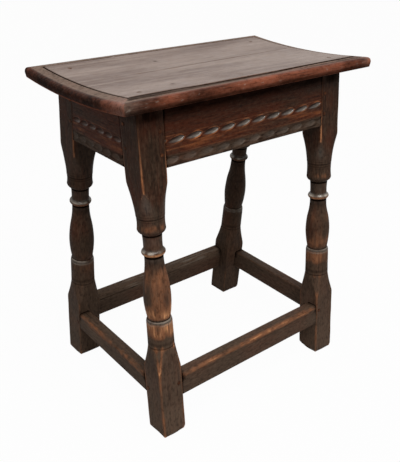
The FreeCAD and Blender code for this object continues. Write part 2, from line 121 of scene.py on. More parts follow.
# %% [markdown]
# ## From grids of points to a closed piece
# Each surface here is a grid: rows of points, where a row may go round and meet its own start.
# A solid timber is such a tube, with its first and last row drawn together to one point, which closes the ends.
# Pushing a plain cube about with modifiers would also do, but a grid puts points just where a form needs them.
# Beside its place, every point keeps its place in the timber, along and across the grain, and a few masks:
# how much it is rubbed (wear), dark with dirt and painted shade (hollow), left without wax (bare),
# thick with wax, whose grey also paints some sheen (polish), ruddy (warm), and pale with nicks and painted
# glints and highlights (pale_nick_and_glint). The finishes read these.

# %% Grids and their faces
MASKS = ("wear", "hollow", "bare", "polish", "warm", "pale_nick_and_glint")


def grid(points, timber, around=False, finish=0, **masks):
    """Points in rows and columns with their places in the timber, the number of their finish and their masks."""
    shape = points.shape[:2]
    full = {name: np.broadcast_to(masks.get(name, 0.0), shape) for name in MASKS}
    timber = np.broadcast_to(timber, points.shape)
    return SimpleNamespace(points=points, timber=timber, around=around, finish=finish, masks=full)


def grid_faces(shape, around, start):
    """Four corners of each face of a grid, as numbers of vertices counted on from start."""
    index = np.arange(shape[0] * shape[1]).reshape(shape) + start
    if around:
        index = np.hstack([index, index[:, :1]])
    corners = (index[:-1, :-1], index[:-1, 1:], index[1:, 1:], index[1:, :-1])
    return np.stack(corners, axis=-1).reshape(-1, 4)


def closed(rows, first, last):
    """Rows of points or of a mask with one more row at each end."""
    return np.concatenate([first, rows, last])


print("faces of a grid of three rows that goes round four points:", len(grid_faces((3, 4), True, 0)))

# %% [markdown]
# All grids of a piece go into one mesh. `foreach_set` hands over a whole array at once, which is far quicker than
# adding points one by one. Points that meet are merged, which closes the piece, and then its faces turn outwards.

# %% One mesh from many grids
MERGE_DISTANCE = 0.000004


def add_mesh(name, grids):
    """A mesh with the points of all grids, merged where they meet, its faces turned outwards."""
    counts = [g.points.shape[0] * g.points.shape[1] for g in grids]
    starts = np.cumsum([0] + counts[:-1])
    faces = [grid_faces(g.points.shape[:2], g.around, start) for g, start in zip(grids, starts)]
    numbers = np.concatenate([np.full(len(part), g.finish) for g, part in zip(grids, faces)])
    faces = np.concatenate(faces)
    mesh = bpy.data.meshes.new(name)
    mesh.vertices.add(sum(counts))
    mesh.vertices.foreach_set("co", np.concatenate([g.points.reshape(-1, 3) for g in grids]).ravel() * MM)
    mesh.loops.add(faces.size)
    mesh.loops.foreach_set("vertex_index", faces.ravel())
    mesh.polygons.add(len(faces))
    mesh.polygons.foreach_set("loop_start", np.arange(0, faces.size, 4))
    mesh.polygons.foreach_set("material_index", numbers)
    mesh.update(calc_edges=True)
    timber = mesh.attributes.new("timber", "FLOAT_VECTOR", "POINT")
    timber.data.foreach_set("vector", np.concatenate([g.timber.reshape(-1, 3) for g in grids]).ravel() * MM)
    for mask in MASKS:
        values = np.concatenate([g.masks[mask].ravel() for g in grids])
        mesh.attributes.new(mask, "FLOAT", "POINT").data.foreach_set("value", np.clip(values, 0, 1))
    shell = bmesh.new()
    shell.from_mesh(mesh)
    bmesh.ops.remove_doubles(shell, verts=shell.verts, dist=MERGE_DISTANCE)
    bmesh.ops.recalc_face_normals(shell, faces=shell.faces)
    shell.to_mesh(mesh)
    shell.free()
    return mesh


print("points closer than this many metres are merged:", MERGE_DISTANCE)

# %% [markdown]
# A finished piece keeps its place in its mesh, so its object stays at the origin, unturned and unscaled.
# It takes the place of one node of the frame and belongs to the only body, because nothing on a joint stool moves.

# %% A piece in the place of a node


def add_piece(name, grids, node, finishes, crease=38):
    """A finished piece in the place of a node of the frame, smooth but for edges sharper than the crease."""
    mesh = add_mesh(name, grids)
    for finish in finishes:
        mesh.materials.append(finish)
    mesh.shade_smooth()
    mesh.set_sharp_from_angle(angle=math.radians(crease))
    piece = bpy.data.objects.new(name, mesh)
    bpy.context.scene.collection.objects.link(piece)
    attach(piece, "root")
    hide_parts(node)
    print(f"{name}: {len(mesh.polygons)} faces")


print("dressed pieces to make:", len(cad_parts))

# %% [markdown]
# ## Shader sums in plain Python
# A finish is a web of small nodes. The class below wraps the output of a node, so that `1 - wear * fibres`
# adds the Math nodes that work it out.

# %% Colours and shader values
GAMMA = 2.2


def srgb(red, green, blue):
    """A screen colour of 0 to 255 as the light that a shader takes: each part to the power of 2.2."""
    return tuple((part / 255) ** GAMMA for part in (red, green, blue)) + (1.0,)


class Value:
    """The number or colour that a node gives out, on which Python's signs add Math nodes."""

    def __init__(self, finish, socket):
        self.finish = finish
        self.socket = socket

    def sum_with(self, operation, left, right):
        """A Math node that joins left and right by an operation."""
        return self.finish.node("ShaderNodeMath", {"operation": operation}, {0: left, 1: right})

    def __add__(self, other):
        """self + other"""
        return self.sum_with("ADD", self, other)

    def __radd__(self, other):
        """other + self"""
        return self.sum_with("ADD", other, self)

    def __sub__(self, other):
        """self - other"""
        return self.sum_with("SUBTRACT", self, other)

    def __rsub__(self, other):
        """other - self"""
        return self.sum_with("SUBTRACT", other, self)

    def __mul__(self, other):
        """self * other"""
        return self.sum_with("MULTIPLY", self, other)

    def __rmul__(self, other):
        """other * self"""
        return self.sum_with("MULTIPLY", other, self)

    def between(self, low, high):
        """Nothing below low, one above high, with a soft step between."""
        settings = {"interpolation_type": "SMOOTHSTEP"}
        return self.finish.node("ShaderNodeMapRange", settings, {"Value": self, "From Min": low, "From Max": high})


print("screen brown as light:", [round(part, 3) for part in srgb(80, 60, 50)])

# %% [markdown]
# Any other node comes from one method, which sets the node up first and then fills in its sockets.
# Every finish ends in the same way: waxed wood, with a dull dark layer over it that is dirt in some places and painted
# shade in others.

# %% Finishes
# Dark colour of grime and of the grain, also used for painted shade
DARK_GRIME_AND_SHADE = srgb(18, 13, 10)
BUMP_DISTANCE = 0.0006


class Finish:
    """A material under the brush."""

    def __init__(self, name):
        self.material = bpy.data.materials.new(name)
        self.material.use_nodes = True
        self.tree = self.material.node_tree
        self.tree.nodes.clear()

    def node(self, kind, settings=None, values=None, output=0):
        """A node of a kind: its settings are set first, then the values or links of its sockets."""
        made = self.tree.nodes.new(kind)
        for name, setting in (settings or {}).items():
            setattr(made, name, setting)
        for name, value in (values or {}).items():
            if isinstance(value, Value):
                self.tree.links.new(value.socket, made.inputs[name])
            else:
                made.inputs[name].default_value = value
        return Value(self, made.outputs[output])

    def mask(self, name):
        """A value that the mesh keeps at every point."""
        return self.node("ShaderNodeAttribute", {"attribute_name": name}, output="Fac")

    def mix(self, low, high, share):
        """A colour that goes from low to high as share goes from nothing to one."""
        return self.node("ShaderNodeMix", {"data_type": "RGBA"}, {"Factor": share, 6: low, 7: high}, output=2)

    def layered(self, colour, layers):
        """Tones laid over a colour one after another, each as colour + (tone - colour) * share."""
        for tone, share in layers:
            colour = self.mix(colour, tone, share)
        return colour

    def streaks(self, stretch_along, width, detail=2.0, shift=0.0):
        """Noise drawn out along the grain: so many times longer than its width across, in metres."""
        timber = self.node("ShaderNodeAttribute", {"attribute_name": "timber"}, output="Vector")
        place = self.node("ShaderNodeVectorMath", {"operation": "MULTIPLY_ADD"},
                          {0: timber, 1: (1, 1, 1 / stretch_along), 2: (shift, shift, shift)})
        return self.node("ShaderNodeTexNoise", {}, {"Vector": place, "Scale": 1 / width, "Detail": detail})

    def close(self, colour, roughness, height, relief, sheen, coat, coat_roughness, dirt_and_shade):
        """Join colour, roughness, wax coat and bumps to a shader, and put a dull dark layer over it by its share,
        which is soiling in some places and painted shade in others.
        """
        normal = self.node("ShaderNodeBump", {}, {"Height": height, "Strength": relief, "Distance": BUMP_DISTANCE})
        wood = self.node("ShaderNodeBsdfPrincipled", {}, {
            "Base Color": colour, "Roughness": roughness, "Normal": normal, "Specular IOR Level": sheen,
            "Coat Weight": coat, "Coat Roughness": coat_roughness})
        # A dull matte layer without reflections: grime, and painted shade in grooves and under the board
        matte_grime_and_shade = self.node("ShaderNodeBsdfPrincipled", {}, {
            "Base Color": DARK_GRIME_AND_SHADE, "Roughness": 1.0, "Normal": normal, "Specular IOR Level": 0.0})
        self.show(self.node("ShaderNodeMixShader", {}, {0: dirt_and_shade, 1: wood, 2: matte_grime_and_shade}))
        return self.material

    def show(self, shader):
        """Join a shader to the output of the material."""
        made = self.tree.nodes.new("ShaderNodeOutputMaterial")
        self.tree.links.new(shader.socket, made.inputs["Surface"])


print("colour of the dirt as light:", [round(part, 4) for part in DARK_GRIME_AND_SHADE])

# %% [markdown]
# ## Old oak
# The wood is nearly black with age and wax. Long fibres run through it, with short open pores between them.
# Where hands and feet have rubbed the wax away, the wood shows orange and tan; in the hollows dirt has gathered,
# and some shade and highlights are painted in as colour.
# Undersides and inner faces never had wax and are dry and grey.
# A picture of wood could be wrapped round each timber, but noise that is drawn out along the grain follows every
# timber without a seam, and the masks tell it where to be rubbed, dirty, or painted with shade and highlights.

# %% The finish of the frame
WARM_WOOD = srgb(122, 64, 32)
WARM_SHINE = srgb(196, 108, 50)
# Pale colour of nicks and scratches, also used for painted highlights and glints
NICK_AND_GLINT_COLOUR = srgb(176, 164, 150)


def oak(name, deep, ruddy, rubbed, bright, wax, sheen=0.07, pale=srgb(116, 94, 76), dry=srgb(96, 79, 66),
        speckled=False):
    """Waxed oak: deep, or ruddy where warm, rubbed to bright where worn, grey where the wax is thick.
    That grey also paints in some sheen.
    """
    finish = Finish(name)
    patches = finish.streaks(3.0, 0.030, 3.0)
    fibres = finish.streaks(20.0, 0.0017, 3.0)
    bands = finish.streaks(22.0, 0.006, 2.0, 3.7)
    pores = finish.streaks(14.0, 0.0006, 1.0, 9.1).between(0.60, 0.72)
    scuffs = finish.streaks(2.2, 0.008, 4.0, 5.3)
    chips = finish.streaks(4.0, 0.0024, 3.0, 1.3)
    mottle = finish.streaks(1.8, 0.004, 4.0, 6.1)
    warm, wear, polish, bare = (finish.mask(name) for name in ("warm", "wear", "polish", "bare"))
    rubbed = finish.mix(rubbed, WARM_WOOD, warm.between(0.45, 1.0) * 0.6)
    bright = finish.mix(bright, WARM_SHINE, warm.between(0.4, 1.0) * 0.8)
    specks = mottle.between(0.64, 0.69) * 0.55 if speckled else 0.4 + scuffs * 0.9
    colour = finish.layered(deep, (
        (ruddy, (warm * 0.8 + (patches - 0.5) * 0.9 + (bands - 0.5) * 0.5).between(0.0, 0.8)),
        (dry, bare * (0.3 + fibres * 0.6 + chips * 0.5)),
        (rubbed, (wear * (0.1 + scuffs * 0.7 + fibres * 0.9 + bands * 0.4)).between(0.22, 0.85)),
        (dry, mottle.between(0.5, 0.7) * (0.12 + bare * 0.35)),
        (bright, (wear * (0.1 + bands * 0.8 + fibres * 0.8)).between(0.66, 1.06)),
        # Grey of thick wax, which also paints sheen
        (wax, polish * 0.8),
        (DARK_GRIME_AND_SHADE, fibres.between(0.50, 0.74) * 0.55 + pores * 0.3),
        (pale, (1 - chips).between(0.50, 0.72) * 0.14),
        (DARK_GRIME_AND_SHADE, (1 - mottle).between(0.5, 0.7) * 0.4),
        # Pale nicks, and painted highlights and glints
        (NICK_AND_GLINT_COLOUR, finish.mask("pale_nick_and_glint") * specks),
    ))
    roughness = 0.44 + (fibres - 0.5) * 0.22 + (scuffs - 0.5) * 0.25 + bare * 0.2
    height = fibres * 0.6 + bands * 0.4 + chips * 0.5 + mottle * 0.8 - pores * 0.6
    # Share of the dull dark layer: dirt, and painted shade
    dirt_and_shade = (finish.mask("hollow") * (0.7 + scuffs * 0.5)).between(0.0, 0.95)
    return finish.close(colour, roughness, height, 0.45, sheen, polish, 0.1, dirt_and_shade)


frame_oak = oak("frame_oak", deep=srgb(55, 42, 33), ruddy=srgb(76, 39, 25), rubbed=srgb(126, 84, 60),
                bright=srgb(204, 144, 100), wax=srgb(88, 84, 76))
print("finish:", frame_oak.name)

# %% [markdown]
# ## The legs
# A turner starts from a square post and turns it away between the joints. What is left of the square at any height
# and angle is the nearer of two surfaces: the flat face of the post, and the turned outline.
# So the whole leg is one function: the smaller of the two radii. Where they cross, pointed tongues form by
# themselves, as they do on the lathe. A spun profile cut with a cube would give the same form, but its faces would be
# ragged along the tongues. Outlines are stations up the leg, with a bulge between them.

# %% Outline of the turning
LOWER_BLOCK = 118
COLUMN_FOOT = 158
COVE_FOOT = 372
UPPER_BLOCK = 421
QUIRK_RADIUS = 18.3
QUIRK_DEPTH = 0.7
VASE_RADIUS = 21.1
VASE_NECK = 14.2
VASE_HEIGHT = 34
VASE_TURN = 0.57
RING_RADIUS = 18.0
RING_SEAT = 14.7
HALF_RING = 4.8
CUP_RADIUS = 21.1

# For each leg the heights of the quirk, ring and cup, which the turner struck by eye, how much of the wax is rubbed
# off the turning, how far the edges of the foot are worn, and how far the turning ran off the middle of the post
LEGS = {
    ("front", "left"): ((206, 315.0, 351.3), 1.0, 1.0, (0.9, 0.7)),
    ("front", "right"): ((210, 309, 344), 0.62, 2.6, (0, 0)),
    ("back", "left"): ((209, 320.5, 354), 0.3, 1.6, (0, 0)),
    ("back", "right"): ((208, 319, 349), 0.12, 1.0, (0, 0)),
}


def outline(stations, height):
    """Radius at each height: straight from station to station, plus 4 * bulge * t * (1 - t) on the way."""
    heights, radii, bulges = np.array(stations, float).T
    number = np.clip(np.searchsorted(heights, height, side="right") - 1, 0, len(heights) - 2)
    share = np.clip((height - heights[number]) / (heights[number + 1] - heights[number]), 0, 1)
    return radii[number] + (radii[number + 1] - radii[number]) * share + 4 * bulges[number] * share * (1 - share)


def turned_stations(quirk, ring, cup):
    """Stations of one leg: height, radius and bulge to the next. The vase is level at its widest and at its top."""
    corner = HALF_LEG * math.sqrt(2)
    widest = quirk + VASE_HEIGHT
    top = ring - HALF_RING - 4
    turn = VASE_RADIUS + (VASE_NECK - VASE_RADIUS) * VASE_TURN
    return (
        (LOWER_BLOCK, corner, -0.9),
        (COLUMN_FOOT, 20.6, 0),
        (quirk - 6, 20.1, 0.1),
        (quirk - 1.6, 19.2, 0),
        (quirk - 0.9, QUIRK_RADIUS - QUIRK_DEPTH, 0),
        (quirk + 0.9, QUIRK_RADIUS - QUIRK_DEPTH + 0.1, QUIRK_DEPTH),
        (widest, VASE_RADIUS, (VASE_RADIUS - turn) / 4),
        (widest + (top - widest) * VASE_TURN, turn, (VASE_NECK - turn) / 4),
        (top, VASE_NECK, 0),
        (ring - HALF_RING, RING_SEAT - 0.3, 0),
        (ring - HALF_RING + 0.3, RING_SEAT + 0.6, RING_RADIUS - RING_SEAT - 0.6),
        (ring + HALF_RING - 0.3, RING_SEAT + 0.6, 0),
        (ring + HALF_RING, RING_SEAT - 0.3, -0.4),
        (cup - 7.2, 15.0, 0.4),
        (cup - 4, 19.4, 0.3),
        (cup, CUP_RADIUS, -0.8),
        (COVE_FOOT, CUP_RADIUS, -1.6),
        (UPPER_BLOCK, corner, 0),
    )


stations = turned_stations(*LEGS["front", "left"][0])
print("radius every 50 mm:", np.round(outline(stations, np.arange(120, 421, 50.0)), 1))

# %% [markdown]
# A leg is worked out upright and then leaned outwards. The rows of its grid crowd towards the ring and cup.

# %% The lean and the rows of a leg
POST_TOP = FRAME_HEIGHT * stretch


def leaning(along, out, up, depth):
    """Points that lean with the legs: across is foot + out / stretch - up * sine, z is out * sine + up / stretch."""
    across = depth * (foot_across + out / stretch - up * lean_sine)
    return stack(along, across, out * lean_sine + up / stretch)


def leg_rows(quirk, ring, cup):
    """Heights of the rows up a leg, closest at the ends and at the turned details."""
    fine = [np.arange(start, end, step) for start, end, step in (
        (0, 6, 0.8), (8, LOWER_BLOCK, 5), (LOWER_BLOCK, COLUMN_FOOT + 4, 0.9), (COLUMN_FOOT + 4, quirk - 8, 3),
        (quirk - 8, quirk + 4, 0.45), (quirk + 4, quirk + 12, 1.2), (quirk + 12, ring - 10, 2.4),
        (ring - 10, ring + 6, 0.55), (ring + 6, cup - 10, 1.6), (cup - 10, cup + 3, 0.6), (cup + 3, COVE_FOOT - 6, 2),
        (COVE_FOOT - 6, UPPER_BLOCK, 0.9), (UPPER_BLOCK, POST_TOP - 4, 4))]
    return np.concatenate(fine + [[POST_TOP - 2.5, POST_TOP - 1, POST_TOP]])


print("rows up the first leg:", len(leg_rows(*LEGS["front", "left"][0])))

# %% [markdown]
# The wear follows use: the arrises are rubbed most just over the turning, the vase and the column by knees and
# brooms, and the tip of the foot by the floor. Dirt stays in the seams of the turning. The shadow close under the
# board is painted in, highlights are painted on the ring and the quirk, and the legs are painted paler towards the
# foot, for the light that reaches it from below.

# %% Wear of the legs


def leg_masks(row, heights, square, from_arris, tongue, timber, rubbed, seed):
    """The masks of a leg: bells round the rows where it is rubbed, filled or waxed, made patchy by noise."""
    quirk, ring, cup = heights
    turned = 1 - square
    patchy = noise(timber, (26, 26, 34), seed + 2)
    flecks = noise(timber, (7, 7, 15), seed + 3)
    strips = noise(timber, (2.6, 2.6, 16), seed + 4)
    near_turning = bell(row - UPPER_BLOCK, 52)
    on_block = rise(COLUMN_FOOT - 8 - row, 14)
    arris = bell(from_arris, 2.3 + 2.2 * on_block) * np.maximum(square, rise(row - 411, 1.5))
    wear = arris * (0.32 + 0.85 * near_turning + 0.28 * on_block + 0.25 * patchy + 0.2 * strips)
    wear = wear * (0.3 + 0.7 * rubbed ** 0.5)
    fork = bell(from_arris - 0.5 - 0.2 * (row - 122), 3.6) * rise(row - 120, 5) * rise(166 - row, 6)
    fork = 0.75 * fork + 0.8 * bell(from_arris - 0.8 * (412 - row), 1.3) * rise(row - 401, 1.5) * rise(413 - row, 1)
    wear = wear + (fork * (0.8 + 0.5 * flecks) + 0.3 * tongue * np.clip(flecks, 0, 1)) * (0.1 + 0.9 * rubbed)
    belly = bell(row - cup - 5.0, 7) * (0.6 + 0.25 * strips)
    vase = rise(ring - 22 - row, 7) * rise(row - quirk - 2, 2) * (0.64 + 0.5 * bell(row - quirk - 13, 12))
    column = rise(quirk - 4 - row, 1) * rise(row - quirk + 29, 5) * 1.25
    neck = 0.2 * bell(row - (ring + cup) / 2, 9)
    glow = (belly + vase + column + neck) * (0.8 + 0.28 * patchy + 0.26 * flecks + 0.24 * strips) * rubbed
    crowns = bell(row - ring + 1.6, 2.6) * (0.4 + 0.85 * rubbed) + 0.4 * bell(row - COLUMN_FOOT, 5) * rubbed
    wear = wear + turned * (glow + crowns) + 0.6 * bell(row, 4) * bell(from_arris, 7)
    turner_lines = rise(np.sin(row * 1.5) - 0.4, 0.3) * (bell(row - 369, 10) + bell(row - COLUMN_FOOT - 8, 7))
    seams = (0.8 * bell(row - quirk - 0.3, 0.8) + bell(row - ring + HALF_RING + 1.6, 1.6) + bell(row - cup + 9, 1.6)
             + 0.7 * bell(row - COLUMN_FOOT - 1, 0.8) + 0.5 * bell(row - COVE_FOOT + 3, 0.8) + 0.5 * turner_lines)
    outer = rise(timber[..., 1] - HALF_LEG + 3, 1)
    # Painted shadow of the board's overhang, darker on the outer faces
    painted_board_shadow = 0.72 * rise(15 - POST_TOP + row, 2.4)
    hollow = turned * (seams + 0.4 * bell(row - ring + 13, 7)) + (0.6 + 0.4 * outer) * painted_board_shadow
    shoulder = bell(row - 392, 16) * (0.35 + 0.4 * bell(from_arris, 6))
    # Wax on the ring's cap, the quirk and the shoulders; its grey also paints their sheen
    polish = turned * (bell(row - ring - 4.0, 2.0) + 0.8 * bell(row - quirk + 4, 3)
                       + (0.4 * bell(row - ring + 10, 5) + 0.3 * bell(row - cup + 17, 9) + shoulder) * rubbed)
    # Painted highlights on the crown of the ring and along the quirk
    pale_nick_and_glint = turned * (1.1 * bell(row - ring - 2.2, 1.5) + 0.45 * bell(row - quirk + 1.4, 0.8)
                      + 0.35 * bell(row - quirk + 6.6, 0.8)) * np.clip(0.5 + 0.9 * flecks, 0, 1)
    warm = 0.15 + 0.3 * patchy + 0.2 * rubbed + 0.35 * arris * bell(row - 425, 22)
    # Painted paler towards the foot for the light from below, and dry where the turning is rubbed
    bare = 1.05 * rise(150 - row, 80) * (0.75 + 0.25 * patchy) * (0.5 + 0.5 * rubbed ** 0.5) + 0.3 * turned * rubbed
    polish = polish * (0.6 + 0.4 * flecks)
    return {"wear": wear, "hollow": hollow, "polish": polish, "warm": warm, "bare": bare, "pale_nick_and_glint": pale_nick_and_glint}


print("legs to wear down:", len(LEGS))

# %% [markdown]
# The columns of the grid crowd towards the four arrises. The foot and head are cut level, though the leg leans, so
# the rows near them tilt into the level.

# %% Make the legs
AROUND_SIDE = 18
BLEND = 0.5
LEVEL_REACH = 30
GRAIN_STEP = 90


def make_leg(place, seed):
    """One leg. The post's radius is half its side over the p-norm of cosine and sine, and a soft minimum joins it to
    the turning: -blend * log(exp(-post / blend) + exp(-turning / blend))."""
    depth, side = DEPTHS[place[0]], SIDES[place[1]]
    heights, rubbed, worn_foot, drift = LEGS[place]
    row = leg_rows(*heights)[:, None]
    share = np.sin(np.linspace(-1, 1, AROUND_SIDE + 1)[:-1] * math.pi / 2)
    angle = ((share + 1) * math.pi / 4 + np.arange(4)[:, None] * math.pi / 2 - math.pi / 4).reshape(1, -1)
    cosine, sine = np.cos(angle), np.sin(angle)
    timber = stack(cosine * HALF_LEG, sine * HALF_LEG, row + np.zeros_like(angle))
    uneven = noise(timber, 16, seed)

    sharpness = 34 + 12 * noise(timber, (60, 60, 22), seed + 1)
    flat = HALF_LEG / (np.abs(cosine) ** sharpness + np.abs(sine) ** sharpness) ** (1 / sharpness)
    turned = outline(turned_stations(*heights), row[:, 0])[:, None]
    turned = turned - 0.45 * bell(row - COLUMN_FOOT - 1, 0.7) - 0.3 * bell(row - COVE_FOOT + 3, 0.7)
    turned = np.where((row < LOWER_BLOCK) | (row > UPPER_BLOCK), 2 * LEG, turned) + 0 * angle
    radius = -BLEND * np.logaddexp(-flat / BLEND, -turned / BLEND)
    from_arris = HALF_LEG * (1 - np.abs(np.tan((angle + math.pi / 4) % (math.pi / 2) - math.pi / 4)))
    foot_wear = bell(row, 3.0) * (0.9 + 0.9 * uneven) + bell(row, 12) * 0.5 * np.clip(uneven, 0, 1)
    foot_wear = foot_wear * (1 + (worn_foot - 1) * bell(from_arris, 12))
    radius = radius + 0.16 * uneven - foot_wear

    square = 1 / (1 + np.exp((flat - turned) / BLEND))
    tongue = bell(flat - turned, 1.0) * bell(from_arris, 13)
    masks = leg_masks(row, heights, square, from_arris, tongue, timber, rubbed, seed)

    on_turning = 1 - square.mean(axis=1, keepdims=True)
    out = radius * sine + drift[1] * on_turning
    along = radius * cosine + drift[0] * on_turning
    level_share = np.clip(1 - np.minimum(row, POST_TOP - row) / LEVEL_REACH, 0, 1)
    up = row - out * slope * level_share
    middle = leaning(side * leg_along, 0.0, np.array([[0.0], [POST_TOP]]), depth) + np.zeros((2, angle.size, 1))
    points = closed(leaning(side * leg_along + along, out, up, depth), middle[:1], middle[1:])
    timber = stack(along + seed * GRAIN_STEP, out, up)
    timber = closed(timber, timber[:1], timber[-1:])
    masks = {name: closed(mask, mask[:1] * 0, mask[-1:] * 0) for name, mask in masks.items()}
    masks["bare"][:2] = 1
    name = "leg_" + "_".join(place)
    add_piece(f"turned_{name}", [grid(points, timber, True, **masks)], name, [frame_oak])


for number, place in enumerate(LEGS):
    make_leg(place, 11 + 7 * number)

# %% [markdown]
# ## Rails and stretchers
# Each bar is one section carried along a line. The long bars lean with the legs; the end bars stand upright and
# their ends are cut to the slant of the legs. Stretched cubes would do for plain bars, but not for carved and worn
# ones. The section is a list of corners, each with a rounding and with the spacing of the points on the side that
# follows, so that a carved face gets fine points and a hidden one few.

# %% A section carried along a bar
STRETCHER_MIDDLE = 82.4
STRETCHER_HEIGHTS = {"front": 37.5, "back": 45, "left": 32.5, "right": 36}
STRETCHER_THICKNESS = 20
RAIL_HEIGHT = 83
RAIL_THICKNESS = 22


def section(corners):
    """Points round a section with corners (out, up, rounding, spacing). A rounding is the corner plus inward *
    rounding * (1 - t) squared plus onward * rounding * t squared."""
    places = np.array([corner[:2] for corner in corners], float)
    points = []
    for number, (_, _, rounding, spacing) in enumerate(corners):
        here, before, after = (places[(number + step) % len(places)] for step in (0, -1, 1))
        inward, onward = ((end - here) / np.linalg.norm(end - here) for end in (before, after))
        share = np.linspace(0, 1, 5)[:, None] if rounding else np.zeros((1, 1))
        curve = here + inward * rounding * (1 - share) ** 2 + onward * rounding * share ** 2
        next_rounding = corners[(number + 1) % len(corners)][2]
        length = np.linalg.norm(after - here) - rounding - next_rounding
        steps = max(1, round(length / spacing))
        side = curve[-1] + onward * np.linspace(0, length, steps + 1)[1:-1, None]
        points += [curve, side]
    points = np.concatenate(points)
    return points[:, 0], points[:, 1]


def make_bar(kind, place, out, up, step, relief, seed):
    """A bar between two legs. relief(along, out, up) gives how deep each point is cut and its masks."""
    if place in DEPTHS:
        reach = FRAME_LENGTH / 2 - LEG
        length = 2 * reach
    else:
        length = 2 * (foot_across - HALF_LEG * stretch - np.mean(up) * slope)
    share = np.linspace(-1, 1, round(length / step) + 1)[:, None]
    along = share * length / 2
    timber = stack(out + seed * 40, up + seed * 17, along)
    cut, masks = relief(along, out + 0 * along, up + 0 * along)
    uneven = noise(timber, (25, 25, 45), seed)
    new_out = out - cut - 0.22 * uneven * (out > -1) - 0.11

    def placed(share, out, up):
        """Points at shares of the way from the middle to the ends."""
        if place in DEPTHS:
            return leaning(share * reach, out + HALF_LEG, up, DEPTHS[place])
        across = share * (foot_across - HALF_LEG * stretch - up * slope)
        return stack(SIDES[place] * (FRAME_LENGTH / 2 + out), across, up)

    ends = placed(np.array([[-1.0], [1.0]]), np.mean(out), np.mean(up)) + np.zeros((2, len(out), 1))
    points = closed(placed(share, new_out, up + 0 * along), ends[:1], ends[1:])
    timber = closed(timber, timber[:1], timber[-1:])
    masks["hollow"] = masks["hollow"] + 0.55 * bell(length / 2 - np.abs(along), 2.0)
    masks = {name: closed(mask, mask[:1], mask[-1:]) for name, mask in masks.items()}
    node = f"{kind}_{place}"
    add_piece(f"worn_{node}", [grid(points, timber, True, **masks)], node, [frame_oak])


print("points round a square of 10 with plain corners:", len(section([(0, 0, 0, 5), (0, 10, 0, 5), (10, 10, 0, 5),
                                                                    (10, 0, 0, 5)])[0]))

# %% [markdown]
# ### Gouge cuts
# Two rows of slanted scoops run along each rail, like the strands of a rope. A carver makes each with one push of a
# gouge: it dips in at the lower left, runs deeper towards the upper right, and stops short in a round end.
# Half the width of a scoop is set by where along it one is, and its depth falls off with the square of the
# distance from its middle line. A thin ridge is left between one scoop and the next. Cutting each with a Boolean
# would be slow and leave ragged faces, so the depth of the deepest scoop is worked out for every point at once.

# %% The scoops
ROWS = (  # middle height over the rail's underside, half width, depth
    (36.2, 4.5, 2.7),
    (9.0, 5.4, 1.8),
)
SCOOP_SLANT = math.radians(7.5)
SCOOP_SHARE = 0.495
PITCH = {"front": 30.8, "back": 30.8, "left": 22.5, "right": 22.5}
TO_THE_RIGHT = {"front": 1, "back": -1, "left": -1, "right": 1}


def scoops(along, up, pitch, first, half_width, depth):
    """A row of scoops, each depth * run's share * (1 - (side / width) squared) deep, how far a point is inside its
    scoop, and where along and across it."""
    shape = np.broadcast(along, up).shape
    total, inside, at, low = (np.full(shape, value) for value in (0.0, -9.0, 0.0, 0.0))
    nearest = np.round((along - first) / pitch)
    for step in (-1, 0, 1):
        near = along - first - (nearest + step) * pitch
        run = (near * math.cos(SCOOP_SLANT) + up * math.sin(SCOOP_SLANT)) / (pitch * SCOOP_SHARE)
        side = -near * math.sin(SCOOP_SLANT) + up * math.cos(SCOOP_SLANT)
        taper = np.clip(1 - np.abs(run) ** np.clip(3.2 + 1.0 * run, 1, 5), 0, 1)
        width = half_width * (0.96 + 0.04 * run) * taper
        bowl = np.clip(1 - (side / np.maximum(width, 0.01)) ** 2, 0, 1) * (0.62 + 0.38 * run) * taper ** 0.4
        total = np.maximum(total, np.where(np.abs(run) < 1, bowl * depth, 0))
        within = width - np.abs(side) - 8 * np.clip(np.abs(run) - 1, 0, 1)
        at, low = np.where(within > inside, run, at), np.where(within > inside, -side, low)
        inside = np.maximum(inside, within)
    return total, inside, at, low


print("depth in the middle of an upper scoop:", np.round(scoops(np.zeros(1), np.zeros(1), 30, 0, *ROWS[0][1:])[0], 2))

# %% [markdown]
# The thin rims of the scoops and the bare band between the rows are rubbed. Wax has dried grey in the cuts, and its
# grey also paints some of their sheen. Their upper edges are painted in shade, and their lower ones get painted
# glints. The ends of the stool show less of all this.

# %% Cuts and masks of the rails
# How much shows of the rubbed rims, the wax in the cuts, the painted shadow under the board and the painted glints on
# the lower edges
LONG_RAIL_SHARES = (1, 1, 0.72, 1.0)
END_RAIL_SHARES = (0.6, 0.36, 0.6, 0.4)


